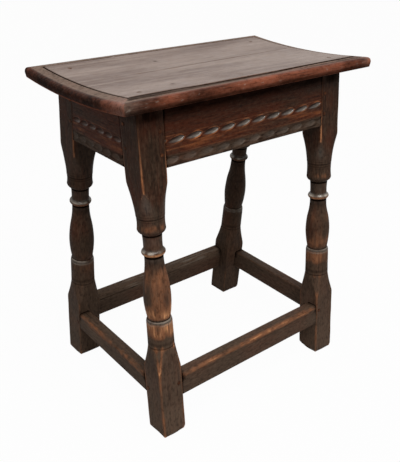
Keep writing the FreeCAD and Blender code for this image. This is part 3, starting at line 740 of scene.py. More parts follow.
def rail_relief(place, underside, seed):
    """The cuts and masks of a rail: two rows of scoops, thin rubbed ridges, grey wax in the cuts."""
    pitch, onward = PITCH[place], TO_THE_RIGHT[place]
    rim_share, wax_share, board_shadow_share, glint_share = LONG_RAIL_SHARES if place in DEPTHS else END_RAIL_SHARES

    def relief(along, out, up):
        over = up - underside
        face = out > -0.8
        cut, rims, shade, pale_nick_and_glint = (np.zeros(over.shape) for _ in range(4))
        wobble = 0.5 * noise(stack(along, 0, 0), 40, seed)
        patches = noise(stack(along, over, 0), (48, 8, 9), seed + 3)
        streaks = noise(stack(along, over, 0), (22, 2.2, 9), seed + 5)
        for number, (middle, half_width, depth) in enumerate(ROWS):
            first = pitch * (0.5 - 0.35 * number)
            row, inside, run, low = scoops(along * onward, over - middle - wobble, pitch, first, half_width, depth)
            cut = np.maximum(cut, row)
            share = 1 - 0.8 * number
            ends = 0.35 + 0.65 * rise(run + 0.1, 0.3)
            rims = np.maximum(rims, bell(inside + 0.5, 0.9) * ends * share)
            # Painted shade in the upper part of each scoop
            shade = np.maximum(shade, rise(inside - 0.2, 0.3) * rise(-low - 0.2, 1.0) * rise(0.5 - run, 0.3) * share)
            # Painted glints on the lower edge of each scoop, short of its round end
            pale_nick_and_glint = np.maximum(pale_nick_and_glint, bell(inside - 1.1, 0.7) * rise(low - 0.6, 0.5) * bell(run - 0.45, 0.34) * share)
        line = bell(over - 43.2, 0.8) + 0.5 * bell(over - 29.6, 0.8) + 0.5 * bell(over - 17.6, 0.8)
        band = bell(over - 24, 6.5) * np.clip(0.55 + 0.4 * patches + 0.35 * streaks, 0, 1)
        arris = bell(over, 1.4) * bell(out, 2.5) * 0.3
        low_row = rise(16.5 - over, 1.5)
        rims = rims * rim_share
        wear = (rims * (0.75 + 0.3 * patches) + 0.72 * band + line * (0.42 + 0.4 * streaks)) * face + arris
        # Grey wax in the cuts, whose grey also paints their sheen
        polish = np.clip((cut - 0.3) / 0.9, 0, 1) * (1.0 - 0.65 * low_row) * wax_share
        polish = polish * (0.85 + 0.15 * patches) * (1 - 0.5 * shade) * face
        # Painted shade in the scoops and painted shadow under the board, and darker between the lower scoops
        hollow = (0.6 * shade + rise(15 - POST_TOP + up, 2.4) * board_shadow_share
                  + 0.5 * low_row * bell(cut, 0.4) * np.clip(0.6 + streaks, 0, 1)) * face
        bare = np.maximum((out < 1 - RAIL_THICKNESS) * 1.0, 0.35 * low_row)
        warm = (0.66 + 0.35 * patches + 0.2 * bell(over - 24, 8)) * face * (1 - 0.7 * low_row)
        pale_nick_and_glint = pale_nick_and_glint * np.clip(0.7 + 0.5 * patches + 0.4 * streaks, 0, 1) * face * glint_share
        cut = (cut + 0.3 * line) * face
        return cut, {"wear": wear, "hollow": hollow, "bare": bare, "polish": polish, "warm": warm, "pale_nick_and_glint": pale_nick_and_glint}
    return relief


print("rows of scoops on each rail:", len(ROWS))

# %% [markdown]
# The carved face gets points 0.7 mm apart and the hidden faces only a few. The front and back rails lean with the
# legs, and their tops are planed level to carry the board.

# %% Make the rails


def make_rail(place, seed):
    """One rail: fine points on its carved face, few elsewhere. A leaning one is cut level along its top."""
    factor, fall = (stretch, slope) if place in DEPTHS else (1, 0)
    low = (FRAME_HEIGHT - RAIL_HEIGHT) * factor
    top = FRAME_HEIGHT * factor
    corners = (
        (0, low, 0.9, 0.7),
        (0, low + 46, 0, 6),
        (0, top - HALF_LEG * fall, 0.6, 6),
        (-RAIL_THICKNESS, top - (HALF_LEG - RAIL_THICKNESS) * fall, 0.6, 9),
        (-RAIL_THICKNESS, low, 1.2, 6),
    )
    out, up = section(corners)
    make_bar("rail", place, out, up, 0.7, rail_relief(place, low, seed), seed)


for number, place in enumerate(PLACES):
    make_rail(place, 101 + 9 * number)

# %% [markdown]
# ### Stretchers
# Feet have rested on the stretchers for centuries: their upper arrises are bevelled, wavy and bare of wax.
# The outer bevel is streaked with orange. The back one is rubbed grey on the side that looks inwards. A Bevel
# modifier would make them all alike and even, so each has its own roundings, and noise makes their arrises wavy.

# %% Wear of the stretchers
RUBBED_REACH = {"front": 5.0, "back": 5.0, "left": 6.4, "right": 5.0}


def stretcher_relief(low, top, place, seed):
    """An upper outer arris that dips in waves and is rubbed in streaks, and grey wood on the back one's inner side."""
    def relief(along, out, up):
        waves = noise(stack(along, 0, 0), 42, seed)
        cut = np.clip(0.7 * waves, 0, 1) * bell(up - top, 7) * (out > -6)
        flecks = noise(stack(along, up + out, 0), (7, 2.2, 9), seed + 1)
        patches = noise(stack(along, 0, 0), 55, seed + 2)
        scratches = noise(stack(along, up + out, 0), (34, 1.3, 9), seed + 3)
        from_arris = np.hypot(up - top + 3.5, np.clip(out + 2, -9, 0))
        outer = bell(from_arris, RUBBED_REACH[place]) * (0.68 + 0.25 * flecks + 0.12 * patches + 0.2 * scratches)
        outer = outer * (out > -12)
        inner = bell(np.hypot(up - top, out + STRETCHER_THICKNESS), 3.0) * 0.4
        wear = outer + inner + 0.3 * bell(np.hypot(up - low, out), 2.0)
        grey = (rise(-out - STRETCHER_THICKNESS / 2, 3) * rise(up - top + 15 + 2 * waves, 1.2)
                + rise(out + 14, 2) * rise(up - top + 2, 1)) * (place == "back")
        crack = bell(up - top + 11 + 1.5 * waves, 1.1) * (out < 1 - STRETCHER_THICKNESS) * rise(40 - along, 20)
        # Near the legs: the dark joint, with painted shade over its upper part
        ends = rise(np.abs(along) - np.max(along) + 7, 2)
        hollow = (0.45 * bell(up - top + 9.0, 1.1) * (out > -2) * (0.5 + 0.5 * patches) + bell(up - low, 2.0) * 0.2
                  + 0.8 * crack * (place == "back") + 0.55 * ends * rise(up - top + 14, 3))
        bare = bell(up - low, 1.0) * (out < -3) + 0.5 + 0.15 * scratches + 0.5 * np.clip(grey, 0, 1)
        bare = bare + 0.3 * (place == "left") * (out > -2) * (1 + patches)
        # Pale scratches on the grey of the back one, and a painted glint on the middle of its upper arris
        pale_nick_and_glint = np.clip(scratches - 0.1, 0, 1) * np.clip(grey, 0, 1) * 0.5 * np.clip(0.5 + patches, 0, 1)
        pale_nick_and_glint = pale_nick_and_glint + 0.5 * bell(along + 5, 7) * bell(up - top, 5) * np.clip(flecks, 0, 1) * (place == "back")
        warm = 0.25 + 0.3 * patches + 0 * cut
        return cut, {"wear": wear, "hollow": hollow, "bare": bare, "warm": warm, "pale_nick_and_glint": pale_nick_and_glint}
    return relief


print("how far each outer arris is rubbed:", RUBBED_REACH)

# %% [markdown]
# Each stretcher is a plain bar of its own height about one line, because it was split by hand from the log.
# Its two upper arrises are rounded by wear, the outer one mostly more than the inner one.

# %% Make the stretchers
BEVEL = {"front": (4.6, 1.6), "back": (3.0, 5.5), "left": (4.6, 2.0), "right": (3.4, 3.0)}


def make_stretcher(place, seed):
    """One stretcher: a plain bar with two worn bevels."""
    factor = stretch if place in DEPTHS else 1
    half = STRETCHER_HEIGHTS[place] / 2
    low, top = (STRETCHER_MIDDLE - half) * factor, (STRETCHER_MIDDLE + half) * factor
    outer, inner = BEVEL[place]
    corners = (
        (0, low, 1.0, 2.5),
        (0, top, outer, 2),
        (-STRETCHER_THICKNESS, top, inner, 2.5),
        (-STRETCHER_THICKNESS, low, 1.0, 5),
    )
    out, up = section(corners)
    make_bar("stretcher", place, out, up, 2.0, stretcher_relief(low, top, place, seed), seed)


for number, place in enumerate(PLACES):
    make_stretcher(place, 151 + 9 * number)

# %% [markdown]
# ## The seat board
# The board has cupped with age: seen from an end it is a slice of a wide ring. Its moulded edge is one profile,
# given as insets from the edge and heights over the underside, carried round all four sides with mitred corners.
# Round the outside the corners are worn: there, points on a square are drawn in onto a circle.
# Inside the moulding, the top and the underside are plain grids that share the profile's last points.
# A bent and bevelled cube would have been quicker, but it could have neither this profile nor its groove.

# %% The moulded profile
END_OVERHANG = 38
SIDE_OVERHANG = 33
HALF_LENGTH = FRAME_LENGTH / 2 + END_OVERHANG
HALF_WIDTH = FRAME_WIDTH / 2 + SIDE_OVERHANG
THICKNESS = 18.3
CUP = 8.2
CUP_LINE = 15
CUP_RADIUS_OF_SEAT = (CUP ** 2 + HALF_WIDTH ** 2) / (2 * CUP)
FIELD_INSET = 30
GROOVE_INSET = 21.5


def nose(count):
    """The rounded nose: a straight line plus 4 * rise * t * (1 - t) square to it."""
    share = np.linspace(0, 1, count)
    start, end, swell = np.array([0, 7.5]), np.array([6.5, 15.5]), 2.4
    run = end - start
    square = np.array([-run[1], run[0]]) / np.hypot(*run)
    points = start + run * share[:, None] + square * 4 * swell * (share * (1 - share))[:, None]
    return np.clip(points, 0, None)


seat_profile = np.concatenate([
    [(FIELD_INSET, 0), (22, 0), (14, 0), (6, 0), (3.2, 0), (2.3, 0.1), (1.8, 0.6), (1.3, 2.2), (0.6, 4.8)],
    nose(10),
    [(inset, 15.8 + 0.18 * (inset - 7.2)) for inset in np.arange(7.2, 20.5, 0.8)],
    [(20.7, 18.2), (21.1, 18.25), (GROOVE_INSET, THICKNESS), (21.9, THICKNESS), (22.3, THICKNESS)],
    [(inset, THICKNESS) for inset in np.arange(23, FIELD_INSET + 0.1, 0.7)],
])
GROOVE_ROW = int(np.argmax((seat_profile[:, 0] > GROOVE_INSET - 0.1) & (seat_profile[:, 1] > 1)))
print("points on the moulded profile:", len(seat_profile), "of which the bottom of the groove is", GROOVE_ROW)

# %% [markdown]
# The cupping is a turn round a line high above the board. The corners are rounded first, on the flat plan.

# %% The cupped plan
CORNER_ROUND = {(-1, -1): 3.5, (1, -1): 5.0, (-1, 1): 4.0, (1, 1): 5.0}
CROWDED = 14


def spaced(half, middle_step):
    """Places from -half to half, a step apart in the middle and closer towards both ends."""
    near_end = half - np.array([0, 1, 2, 3.2, 4.8, 7, 10])
    middle = np.linspace(CROWDED - half, half - CROWDED, round(2 * (half - CROWDED) / middle_step) + 1)
    return np.unique(np.concatenate([-near_end, middle, near_end]).round(4))


def cupped(along, across, height):
    """Points of the cupped board: across runs round the underside, and height stands square to it."""
    turn = np.arcsin(across / CUP_RADIUS_OF_SEAT)
    radius = CUP_RADIUS_OF_SEAT - height
    return stack(along, CUP_LINE + radius * np.sin(turn), FRAME_HEIGHT + CUP_RADIUS_OF_SEAT - radius * np.cos(turn))


def round_corners(along, across):
    """Draw the outer corners in: in a square at each corner, max(a, b) / hypot(a, b) turns squares into circles."""
    for (side, depth), radius in CORNER_ROUND.items():
        a = side * along - (HALF_LENGTH - radius)
        b = depth * across - (HALF_WIDTH - depth * CUP_LINE) + radius
        inside = (a > 0) & (b > 0)
        factor = np.where(inside, np.maximum(a, b) / np.maximum(np.hypot(a, b), 0.001), 1)
        along = np.where(inside, side * (HALF_LENGTH - radius + a * factor), along)
        across = np.where(inside, depth * (HALF_WIDTH - depth * CUP_LINE - radius + b * factor), across)
    return along, across


print("rise of the cupped edges in millimetres:", CUP)

# %% [markdown]
# A shallow channel is scratched along the front of the top, and a plain line along its other three sides.

# %% The scratched groove
GROOVE_DEPTH = 1.2


def front_share(along, across):
    """One on the front moulding and nothing on the other three, with the mitre between, and how far the front is."""
    to_front = across + HALF_WIDTH + CUP_LINE
    to_end = HALF_LENGTH - np.abs(along)
    return rise(to_end - to_front, 1.5), to_front


def channel(along, inset, front):
    """Share of the groove's depth: a plain line, or along the front a channel that narrows and gains a second line.
    Each is a rise at its outer side times a rise the other way at its inner side."""
    inner = 26.5 - 6.0 * rise(along + 125, 30) + 2.5 * rise(along - 70, 30)
    outer = 12.4 + 5.0 * rise(along - 70, 30)
    wide = rise(inset - outer, 0.4) * rise(inner - inset, 0.4)
    wide = wide * (0.58 + 0.34 * bell(inset - inner + 1.2, 1.6) + 0.15 * rise(along - 70, 30))
    second = 0.6 * rise(inset - 10.2, 0.4) * rise(12.6 - inset, 0.4) * rise(along - 80, 25)
    line = (1 - front) * rise(inset - GROOVE_INSET + 1.4, 0.3) * rise(GROOVE_INSET + 1.4 - inset, 0.3)
    return front * (wide + second) + line


print("the bottom of the groove lies", GROOVE_INSET, "mm in and is", GROOVE_DEPTH, "mm deep")

# %% [markdown]
# The moulding is dark and ruddy, dry and paler along its upper side, and rubbed at the corners where the stool is
# lifted. The foot of the front nose is painted in shade and the nose of the ends is darker lower down. The groove
# holds dirt and painted shade, a glint is painted on the left nose by the front corner, and the underside never
# had wax.

# %% Masks of the board
UPPER_PART = 12


def board_masks(along, across, inset, height):
    """The masks of the board: bells and rises over the distances from its edges, made patchy by noise."""
    place = stack(along, across, height)
    front, to_front = front_share(along, across)
    end = 1 - front
    to_left, to_right = HALF_LENGTH + along, HALF_LENGTH - along
    rim = 1.0 * (inset < GROOVE_INSET) * (height > 0.3)
    right = end * rise(30 - to_right, 3) * (1 - 0.7 * rise(height - 14.5, 0.8))
    corner = bell(to_left, 24) * bell(to_front, 30) * end
    near_front = bell(to_left, 24) * front
    patches = noise(place, (36, 22, 22), 71)
    flecks = noise(place, (10, 9, 5), 72)
    nicks = bell(np.hypot(inset - 1, height - 9.5), 3.0) * (0.25 + 0.75 * bell(along + 80, 80)) * front
    shoulder = bell(np.hypot(inset - 1.5, height - 12), 5.0)
    low_edge = bell(np.hypot(inset - 1.6, height - 0.8), 1.7) * end * (1 - right)
    tip = bell(to_right, 16) * bell(to_front, 20)
    orange = bell(along - 75, 55) * bell(height - 6, 3.5) * front
    wear = rim * (shoulder * (0.2 * patches + 0.22 * flecks + 0.3 * corner) + 0.8 * tip + 0.35 * orange + 0.6 * right)
    wear = wear + 0.75 * low_edge
    # The nose of the ends is darker lower down
    end_nose = 0.55 * end * (1 - right) * rise(13.5 - height, 1) * (1 - 0.3 * bell(to_front, 40))
    # Painted shade on the foot of the front nose
    below = rise(5.5 - height, 1.2) * front + end_nose
    dark_patch = bell(along - 178, 17) * bell(height - 11, 5) * front
    # The groove is dark with dirt and painted shade
    hollow = 0.95 * channel(along, inset, front) * (height > UPPER_PART) + rim * (0.65 * below + 0.6 * dark_patch)
    band = end * rise(inset - 6.8, 0.6) * rise(height - 12, 1)
    strip = front * rise(inset - 7.5, 1.0) * (0.75 + 0.25 * patches)
    underside = (height < 0.3) * (inset > 2.5) * 1.0
    bare = rim * (0.95 * band * (1 - 0.8 * corner) + 0.9 * strip + 0.4 * near_front + 0.3 * tip)
    bare = np.maximum(underside, bare)
    ruddy = rise(to_left - 56, 16) * (0.51 + 0.15 * bell(along - 30, 70) - 0.2 * bell(along - 190, 25))
    warm = front * (0.1 + ruddy + 0.2 * patches) * (1 - 0.45 * rise(inset - 8, 1))
    warm = warm + end * (0.2 + 0.15 * patches + 0.3 * bell(to_front, 70) + corner + 0.9 * right)
    # A painted glint on the left nose by the front corner, beside the pale nicks along the front nose
    glint = bell(to_left - 2, 3) * bell(to_front - 17, 4) * bell(height - 10, 4)
    pale_nick_and_glint = rim * (0.8 * nicks * (1 - dark_patch) + 3 * glint + 0.25 * near_front)
    # Wax along the top of the nose and at the corners; its grey also paints a light line of sheen
    polish = rim * (0.1 * bell(inset - 7.2, 1.6) + 0.3 * corner + 0.4 * tip)
    return {"wear": wear, "hollow": hollow, "bare": bare, "warm": warm, "polish": polish, "pale_nick_and_glint": pale_nick_and_glint}


print("profile points on the upper part:", int((seat_profile[:, 1] > UPPER_PART).sum()))

# %% [markdown]
# The split that runs in from the right-hand end is a narrow trench. The lines of the grid bend to follow it,
# so that a few of them can drop into the wood.

# %% The top, the underside and the split
SPLIT_START = -120
SPLIT_FADE = 60
SPLIT_DEPTH = 7
SPLIT_LINES = np.array([-2.5, -1.1, -0.5, 0, 0.5, 1.1, 2.5])


def split_line(along):
    """How far across the board the split lies: -4 at its start, and 9 more at the right-hand end."""
    return -4 + 9 * (along - SPLIT_START) / (HALF_LENGTH - SPLIT_START)


field_along = spaced(HALF_LENGTH - FIELD_INSET, 2.6)
split_middle = split_line(60)
field_low = -HALF_WIDTH - CUP_LINE + FIELD_INSET
field_high = HALF_WIDTH - CUP_LINE - FIELD_INSET
field_across = spaced((field_high - field_low) / 2, 4) + (field_high + field_low) / 2
field_across = field_across[np.abs(field_across - split_middle) > 3.2]
field_across = np.sort(np.concatenate([field_across, split_middle + SPLIT_LINES]))
trench = np.interp(np.abs(field_across - split_middle), [0, 0.5, 1.1], [1, 0.7, 0])


def bend_to_split(along, across):
    """Lines near the split, moved sideways to follow it by its own shift times a bell of the distance from it."""
    return across + (split_line(along) - split_middle) * bell(across - split_middle, 30)


def field(height_of_face, split):
    """The grid of the top or the underside, inside the moulding: its height less the trench and some noise."""
    along = field_along[:, None] + 0 * field_across
    across = bend_to_split(along, field_across[None, :])
    place = stack(along, across, 0)
    open_share = np.clip((along - SPLIT_START) / SPLIT_FADE, 0, 1) * split
    height = height_of_face - SPLIT_DEPTH * open_share * trench
    if height_of_face:
        height = height - 0.35 * np.clip(noise(place, (80, 34, 34), 61), 0, 1)
        height = height - 0.12 * (noise(place, (40, 7, 7), 62) + 1)
        edge = np.minimum(np.minimum(along - field_along[0], field_along[-1] - along),
                          np.minimum(across - field_low, field_high - across))
        height = height_of_face + (height - height_of_face) * np.clip(edge / 12 + (trench > 0) * split, 0, 1)
    masks = board_masks(along, across, FIELD_INSET + 0 * along, height + 0 * along)
    spots = bell(np.hypot(along + 120, across + 95), 3.5) + bell(np.hypot(along + 49, across - 49), 4)
    masks["hollow"] = masks["hollow"] + open_share * trench + 0.6 * spots
    if not height_of_face:
        masks["bare"] = 1.0
    return grid(cupped(along, across, height), stack(across, height, along), **masks)


print("points of the top:", len(field_along) * len(field_across))

# %% [markdown]
# The moulding starts from the edge of the top. Each point of the profile is a ring, which is that edge blown up until
# it lies at the point's inset. The rings outside the groove get the finish of the edge, the others that of the top.

# %% The moulding round the board


def moulding():
    """Rings of points: the field's edge times 1 + (field's inset - inset) / half its size, at the profile's height."""
    edge = np.concatenate([
        stack(field_along, field_low, 0)[:-1],
        stack(field_along[-1], field_across, 0)[:-1],
        stack(field_along, field_high, 0)[:0:-1],
        stack(field_along[0], field_across, 0)[:0:-1],
    ])
    open_here = np.concatenate([
        0 * field_along[:-1], trench[:-1], 0 * field_along[1:], 0 * field_across[1:]])
    inset, height = seat_profile[:, :1], seat_profile[:, 1:]
    centre = (field_low + field_high) / 2
    grow = FIELD_INSET - inset
    along = edge[:, 0] * (1 + grow / field_along[-1])
    across = centre + (edge[:, 1] - centre) * (1 + grow / ((field_high - field_low) / 2))
    follow = bell(edge[:, 1] - split_middle, 30) * (np.abs(edge[:, 0]) > field_along[-1] - 0.01)
    across = across + (split_line(edge[:, 0]) - split_middle) * follow
    along, across = round_corners(along, across)
    place = stack(along, across, height + 0 * along)
    masks = board_masks(along, across, inset + 0 * along, height + 0 * along)
    nick = np.clip(noise(place, (7, 7, 4), 63) - 0.45, 0, 1) * 1.6 + np.clip(noise(place, 60, 64), 0, 1) * 0.5
    shrink = nick * bell(inset - 1, 5) * (height > 0.5)
    along = along * (1 - shrink / HALF_LENGTH)
    across = centre + (across - centre) * (1 - shrink / HALF_WIDTH)
    drop = SPLIT_DEPTH * open_here * (height > UPPER_PART) + 0 * along
    along = along - 5 * open_here * bell(inset, 12)
    masks["hollow"] = masks["hollow"] + open_here
    sunk = GROOVE_DEPTH * channel(along, inset, front_share(along, across)[0]) * (height > UPPER_PART)
    points, timber = cupped(along, across, height - drop - sunk), stack(across, height, along)
    for rows, finish in ((slice(0, GROOVE_ROW + 1), 1), (slice(GROOVE_ROW, None), 0)):
        part = {name: mask[rows] for name, mask in masks.items()}
        yield grid(points[rows], timber[rows], True, finish, **part)


print("points round the edge of the top:", 2 * (len(field_along) + len(field_across) - 2))

# %% [markdown]
# The top has a satin skin: grey-brown, with straight fibres and a few darker streaks. The edge is redder and darker,
# rubbed to orange where hands have gripped it.

# %% Finish and make the board


def board_oak_finish():
    """Satin grey-brown oak with darker streaks."""
    finish = Finish("seat_oak")
    patches = finish.streaks(4.0, 0.05, 3.0)
    fibres = finish.streaks(40.0, 0.0018, 3.0)
    bands = finish.streaks(30.0, 0.008, 3.0, 2.9)
    pores = finish.streaks(16.0, 0.0007, 1.0, 7.7).between(0.60, 0.70)
    scuffs = finish.streaks(1.6, 0.010, 4.0, 4.1)
    bare, polish = finish.mask("bare"), finish.mask("polish")
    colour = finish.layered(srgb(116, 97, 86), (
        (srgb(88, 66, 54), patches.between(0.42, 0.68)),
        (srgb(136, 118, 106), bands.between(0.45, 0.7) * 0.5),
        (srgb(62, 45, 37), fibres.between(0.52, 0.75) * 0.55),
        (srgb(86, 68, 54), bare * 0.8),
        (srgb(40, 29, 24), pores * 0.5),
    ))
    roughness = 0.42 + (fibres - 0.5) * 0.2 + (scuffs - 0.5) * 0.2 + bare * 0.3
    height = fibres * 0.5 + bands * 0.6 - pores * 0.6
    dirt_and_shade = (finish.mask("hollow") * (0.8 + scuffs * 0.3)).between(0.0, 0.85)
    return finish.close(colour, roughness, height, 0.3, 0.3, polish, 0.25, dirt_and_shade)


seat_oak = board_oak_finish()
edge_oak = oak("edge_oak", deep=srgb(34, 19, 12), ruddy=srgb(124, 72, 54), rubbed=srgb(140, 72, 42),
               bright=srgb(214, 160, 124), wax=srgb(112, 92, 80), sheen=0.03, pale=srgb(124, 84, 66),
               dry=srgb(122, 104, 93), speckled=True)
board_grids = [field(THICKNESS, 1), field(0, 0), *moulding()]
add_piece("moulded_seat_board", board_grids, "seat_board", [seat_oak, edge_oak], 50)

# %% [markdown]
# ## The pegs
# Every joint is held by riven pegs, driven through and cut off just proud of the wood. Each is whittled to about
# eight sides. A peg is a short tube whose end is domed a little, and no two have quite the same shape, which copies
# of one bevelled cylinder couldn't give.

# %% One peg
PEG_POINTS = 24


def peg_grid(foot, head, radius, aside, seed, dirt_and_shade):
    """One peg from its foot to its head: rings of points round the axis, drawn in over the head. The radius swells and
    shrinks with the cosine of eight times the angle, for blunt corners, and of twice the angle, for an oval."""
    foot, head = np.array(foot, float), np.array(head, float)
    length = np.linalg.norm(head - foot)
    axis = (head - foot) / length
    aside = np.cross(axis, aside)
    aside = aside / np.linalg.norm(aside)
    third = np.cross(axis, aside)
    from_head = np.array([length, length, 30, 12, 3, 1.2, 0.6, 0.25, 0.05, 0, 0])[:, None]
    scale = np.array([0, 1, 1, 1, 1, 1, 0.99, 0.93, 0.82, 0.5, 0])[:, None]
    angle = np.linspace(0, 2 * math.pi, PEG_POINTS, endpoint=False)[None, :]
    random = np.random.default_rng(seed)
    facets = 1 - 0.035 * np.cos(8 * angle + random.uniform(0, 6)) - 0.04 * np.cos(2 * angle + random.uniform(0, 6))
    around = radius * scale * (facets - 0.04)
    tilt = 0.15 * np.cos(angle + random.uniform(0, 6)) * scale * (from_head < 2)
    points = (head - axis * (from_head + tilt + 0.25)[..., None]
              + aside * (around * np.cos(angle))[..., None] + third * (around * np.sin(angle))[..., None])
    timber = stack(around * np.cos(angle) + seed * 13, around * np.sin(angle), from_head)
    end = (from_head < 0.4) * 1.0
    wear = end * (0.15 + 0.45 * bell(scale, 0.6)) * random.uniform(0.5, 1.3)
    hollow = bell(from_head - 1.0, 0.9) * dirt_and_shade + 0 * angle
    return grid(points, timber, True, wear=wear + 0 * angle, hollow=hollow, warm=0.5)


print("points round a peg:", PEG_POINTS)

# %% [markdown]
# Two pegs hold each tenon of a rail and one holds each tenon of a stretcher. Those of the long sides and of the ends
# sit at different heights, so that they miss each other inside the leg. The foot of a peg stops just short of the
# inner face, and its head stands proud. Four more go down through the board into the tops of the legs.

# %% Where the pegs go
PEG_PROUD = 0.7
PEG_SHORT = 0.6
PEG_INSET = 7
LONG_PEGS = {"rail": (489, 456), "stretcher": (88.4,)}
END_PEGS = {"rail": (499, 466), "stretcher": (76.4,)}
SEAT_PEG_DEPTH = 26
SEAT_PEG_PROUD = 0.4
SEAT_PEG_ASIDE = (6, 8)


def long_joint_pegs(depth, heights):
    """Pegs through the front or back faces, square to the lean of the legs."""
    for side in SIDES.values():
        for height in heights:
            along = side * (leg_along - HALF_LEG + PEG_INSET)
            outs = (PEG_SHORT - HALF_LEG, HALF_LEG + PEG_PROUD)
            yield tuple(leaning(along, out, height * stretch, depth) for out in outs)


def end_joint_pegs(side, heights):
    """Pegs through the side faces, straight along the stool."""
    for depth in DEPTHS.values():
        for height in heights:
            across = depth * (foot_across - height * slope + (PEG_INSET - HALF_LEG) * stretch)
            outer = FRAME_LENGTH / 2 + PEG_PROUD
            yield (side * (FRAME_LENGTH / 2 - LEG + PEG_SHORT), across, height), (side * outer, across, height)


def seat_pegs():
    """Upright pegs through the corners of the board into the legs."""
    for side in SIDES.values():
        for depth in DEPTHS.values():
            along = side * (leg_along + SEAT_PEG_ASIDE[0])
            across = depth * (foot_across - FRAME_HEIGHT * slope + SEAT_PEG_ASIDE[1])
            top = cupped(0, across - CUP_LINE, THICKNESS)[2]
            yield (along, across, FRAME_HEIGHT - SEAT_PEG_DEPTH), (along, across, top + SEAT_PEG_PROUD)


print("pegs down through the board:", len(list(seat_pegs())))

# %% [markdown]
# The pegs of the frame are as dark as its wood. Those in the board are rubbed almost level with it and are paler.

# %% Make the pegs
PEG_RADIUS = 3.7
SEAT_PEG_RADIUS = 4.0


def add_pegs(node, pegs, radius, aside, seed, finish, dirt_and_shade=0.9):
    """A group of pegs in the place of one node."""
    grids = [peg_grid(foot, head, radius, aside, seed + number, dirt_and_shade) for number, (foot, head) in enumerate(pegs)]
    add_piece(f"whittled_{node}", grids, node, [finish], 60)


peg_oak = oak("peg_oak", deep=srgb(52, 38, 30), ruddy=srgb(84, 48, 30), rubbed=srgb(128, 76, 46),
              bright=srgb(176, 116, 80), wax=srgb(80, 74, 68))
seat_peg_oak = oak("seat_peg_oak", deep=srgb(104, 84, 72), ruddy=srgb(84, 62, 50), rubbed=srgb(124, 102, 88),
                   bright=srgb(132, 110, 96), wax=srgb(120, 104, 92))
for kind in LONG_PEGS:
    for name, depth in DEPTHS.items():
        pegs = long_joint_pegs(depth, LONG_PEGS[kind])
        add_pegs(f"pegs_{kind}_{name}", pegs, PEG_RADIUS, (1, 0, 0), 200, peg_oak)
    for name, side in SIDES.items():
        pegs = end_joint_pegs(side, END_PEGS[kind])
        add_pegs(f"pegs_{kind}_{name}", pegs, PEG_RADIUS, (0, 0, 1), 230, peg_oak)
add_pegs("pegs_seat", seat_pegs(), SEAT_PEG_RADIUS, (1, 0, 0), 260, seat_peg_oak, 0.35)

# %% [markdown]
# ## Floor, light and camera
# The stool stands on a white floor in a white studio. To the camera the floor is nearly pure white and keeps only a
# soft shadow; the world behind it is plain white too. A wide soft lamp hangs overhead, so that the board shades what
# is under it, and a small one in front puts sparks of light on the wax. A floor of white paint would be grey wherever
# the lamps fall off, so most of its white is light that only the camera sees.
# The camera's place and lens were worked out from the corners of the stool in its picture.

# %% Floor and world
FLOOR_HALF = 14.0
FLOOR_GREY = (0.5, 0.5, 0.5, 1)
FLOOR_WHITENESS = 0.97
WORLD_LIGHT = 0.38


def make_floor():
    """A wide floor, white to the camera with the shadow kept, and pale grey to the light that bounces off it."""
    mesh = bpy.data.meshes.new("floor")
    corners = [(-FLOOR_HALF, -FLOOR_HALF, 0), (FLOOR_HALF, -FLOOR_HALF, 0), (FLOOR_HALF, FLOOR_HALF, 0),
               (-FLOOR_HALF, FLOOR_HALF, 0)]
    mesh.from_pydata(corners, [], [(0, 1, 2, 3)])
    floor = bpy.data.objects.new("floor", mesh)
    bpy.context.scene.collection.objects.link(floor)
    finish = Finish("studio_floor")
    paper = finish.node("ShaderNodeBsdfDiffuse", {}, {"Color": FLOOR_GREY})
    light = finish.node("ShaderNodeEmission", {}, {"Color": (1, 1, 1, 1), "Strength": 1.0})
    seen = finish.node("ShaderNodeLightPath", output="Is Camera Ray")
    finish.show(finish.node("ShaderNodeMixShader", {}, {0: seen * FLOOR_WHITENESS, 1: paper, 2: light}))
    mesh.materials.append(finish.material)


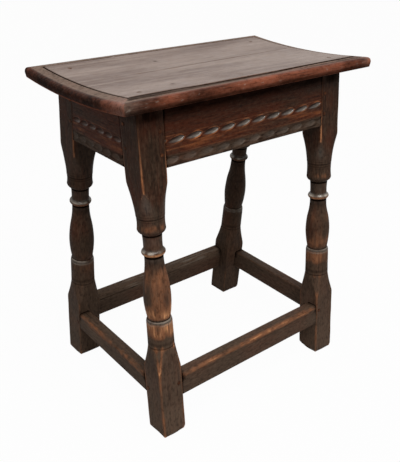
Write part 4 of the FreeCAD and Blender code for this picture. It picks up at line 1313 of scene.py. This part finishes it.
def make_world():
    """Pure white where the camera or a reflection sees it, and a plain soft light elsewhere."""
    world = bpy.data.worlds.new("studio")
    bpy.context.scene.world = world
    world.use_nodes = True
    nodes = world.node_tree.nodes
    path = nodes.new("ShaderNodeLightPath")
    seen = nodes.new("ShaderNodeMath")
    seen.operation = "MAXIMUM"
    strength = nodes.new("ShaderNodeMapRange")
    strength.inputs["To Min"].default_value = WORLD_LIGHT
    strength.inputs["To Max"].default_value = 1.0
    links = world.node_tree.links
    links.new(path.outputs["Is Camera Ray"], seen.inputs[0])
    links.new(path.outputs["Is Glossy Ray"], seen.inputs[1])
    links.new(seen.outputs[0], strength.inputs["Value"])
    nodes["Background"].inputs["Color"].default_value = (1, 1, 1, 1)
    links.new(strength.outputs[0], nodes["Background"].inputs["Strength"])


make_floor()
make_world()
print("floor and world are ready")

# %% Lamps
STOOL_MIDDLE = (0, 0, 0.35)


def add_lamp(name, place, size, power):
    """A square soft lamp at a place, facing the middle of the stool."""
    lamp = bpy.data.lights.new(name, "AREA")
    lamp.size = size
    lamp.energy = power
    thing = bpy.data.objects.new(name, lamp)
    bpy.context.scene.collection.objects.link(thing)
    thing.location = place
    thing.rotation_euler = (Vector(STOOL_MIDDLE) - Vector(place)).to_track_quat("-Z", "Y").to_euler()


add_lamp("overhead_lamp", (-0.3, -0.9, 2.3), 1.6, 37)
add_lamp("spark_lamp", (-0.5, -1.5, 2.0), 0.4, 12)

# %% Camera
CAMERA_PLACE = (-0.62632, -0.76394, 0.75192)
TURN, TILT, ROLL = (math.radians(angle) for angle in (-39.14, -27.04, 0.716))
FOCAL_PIXELS = 627.5
PICTURE_HEIGHT = 462
SENSOR = 36


def make_camera():
    """A camera that looks along the turn and tilt, with the lens that the picture was taken with."""
    right = Vector((math.cos(TURN), math.sin(TURN), 0))
    ahead = Vector((-math.sin(TURN) * math.cos(TILT), math.cos(TURN) * math.cos(TILT), math.sin(TILT)))
    right = right * math.cos(ROLL) + right.cross(ahead) * math.sin(ROLL)
    camera = bpy.data.objects.new("camera", bpy.data.cameras.new("camera"))
    camera.data.sensor_width = SENSOR
    camera.data.lens = FOCAL_PIXELS * SENSOR / PICTURE_HEIGHT
    axes = Matrix((right, right.cross(ahead), -ahead)).transposed().to_4x4()
    camera.matrix_world = Matrix.Translation(CAMERA_PLACE) @ axes
    bpy.context.scene.collection.objects.link(camera)
    bpy.context.scene.camera = camera
    return camera


print("lens in millimetres:", round(make_camera().data.lens, 2))
bpy.context.scene.view_settings.view_transform = "Standard"
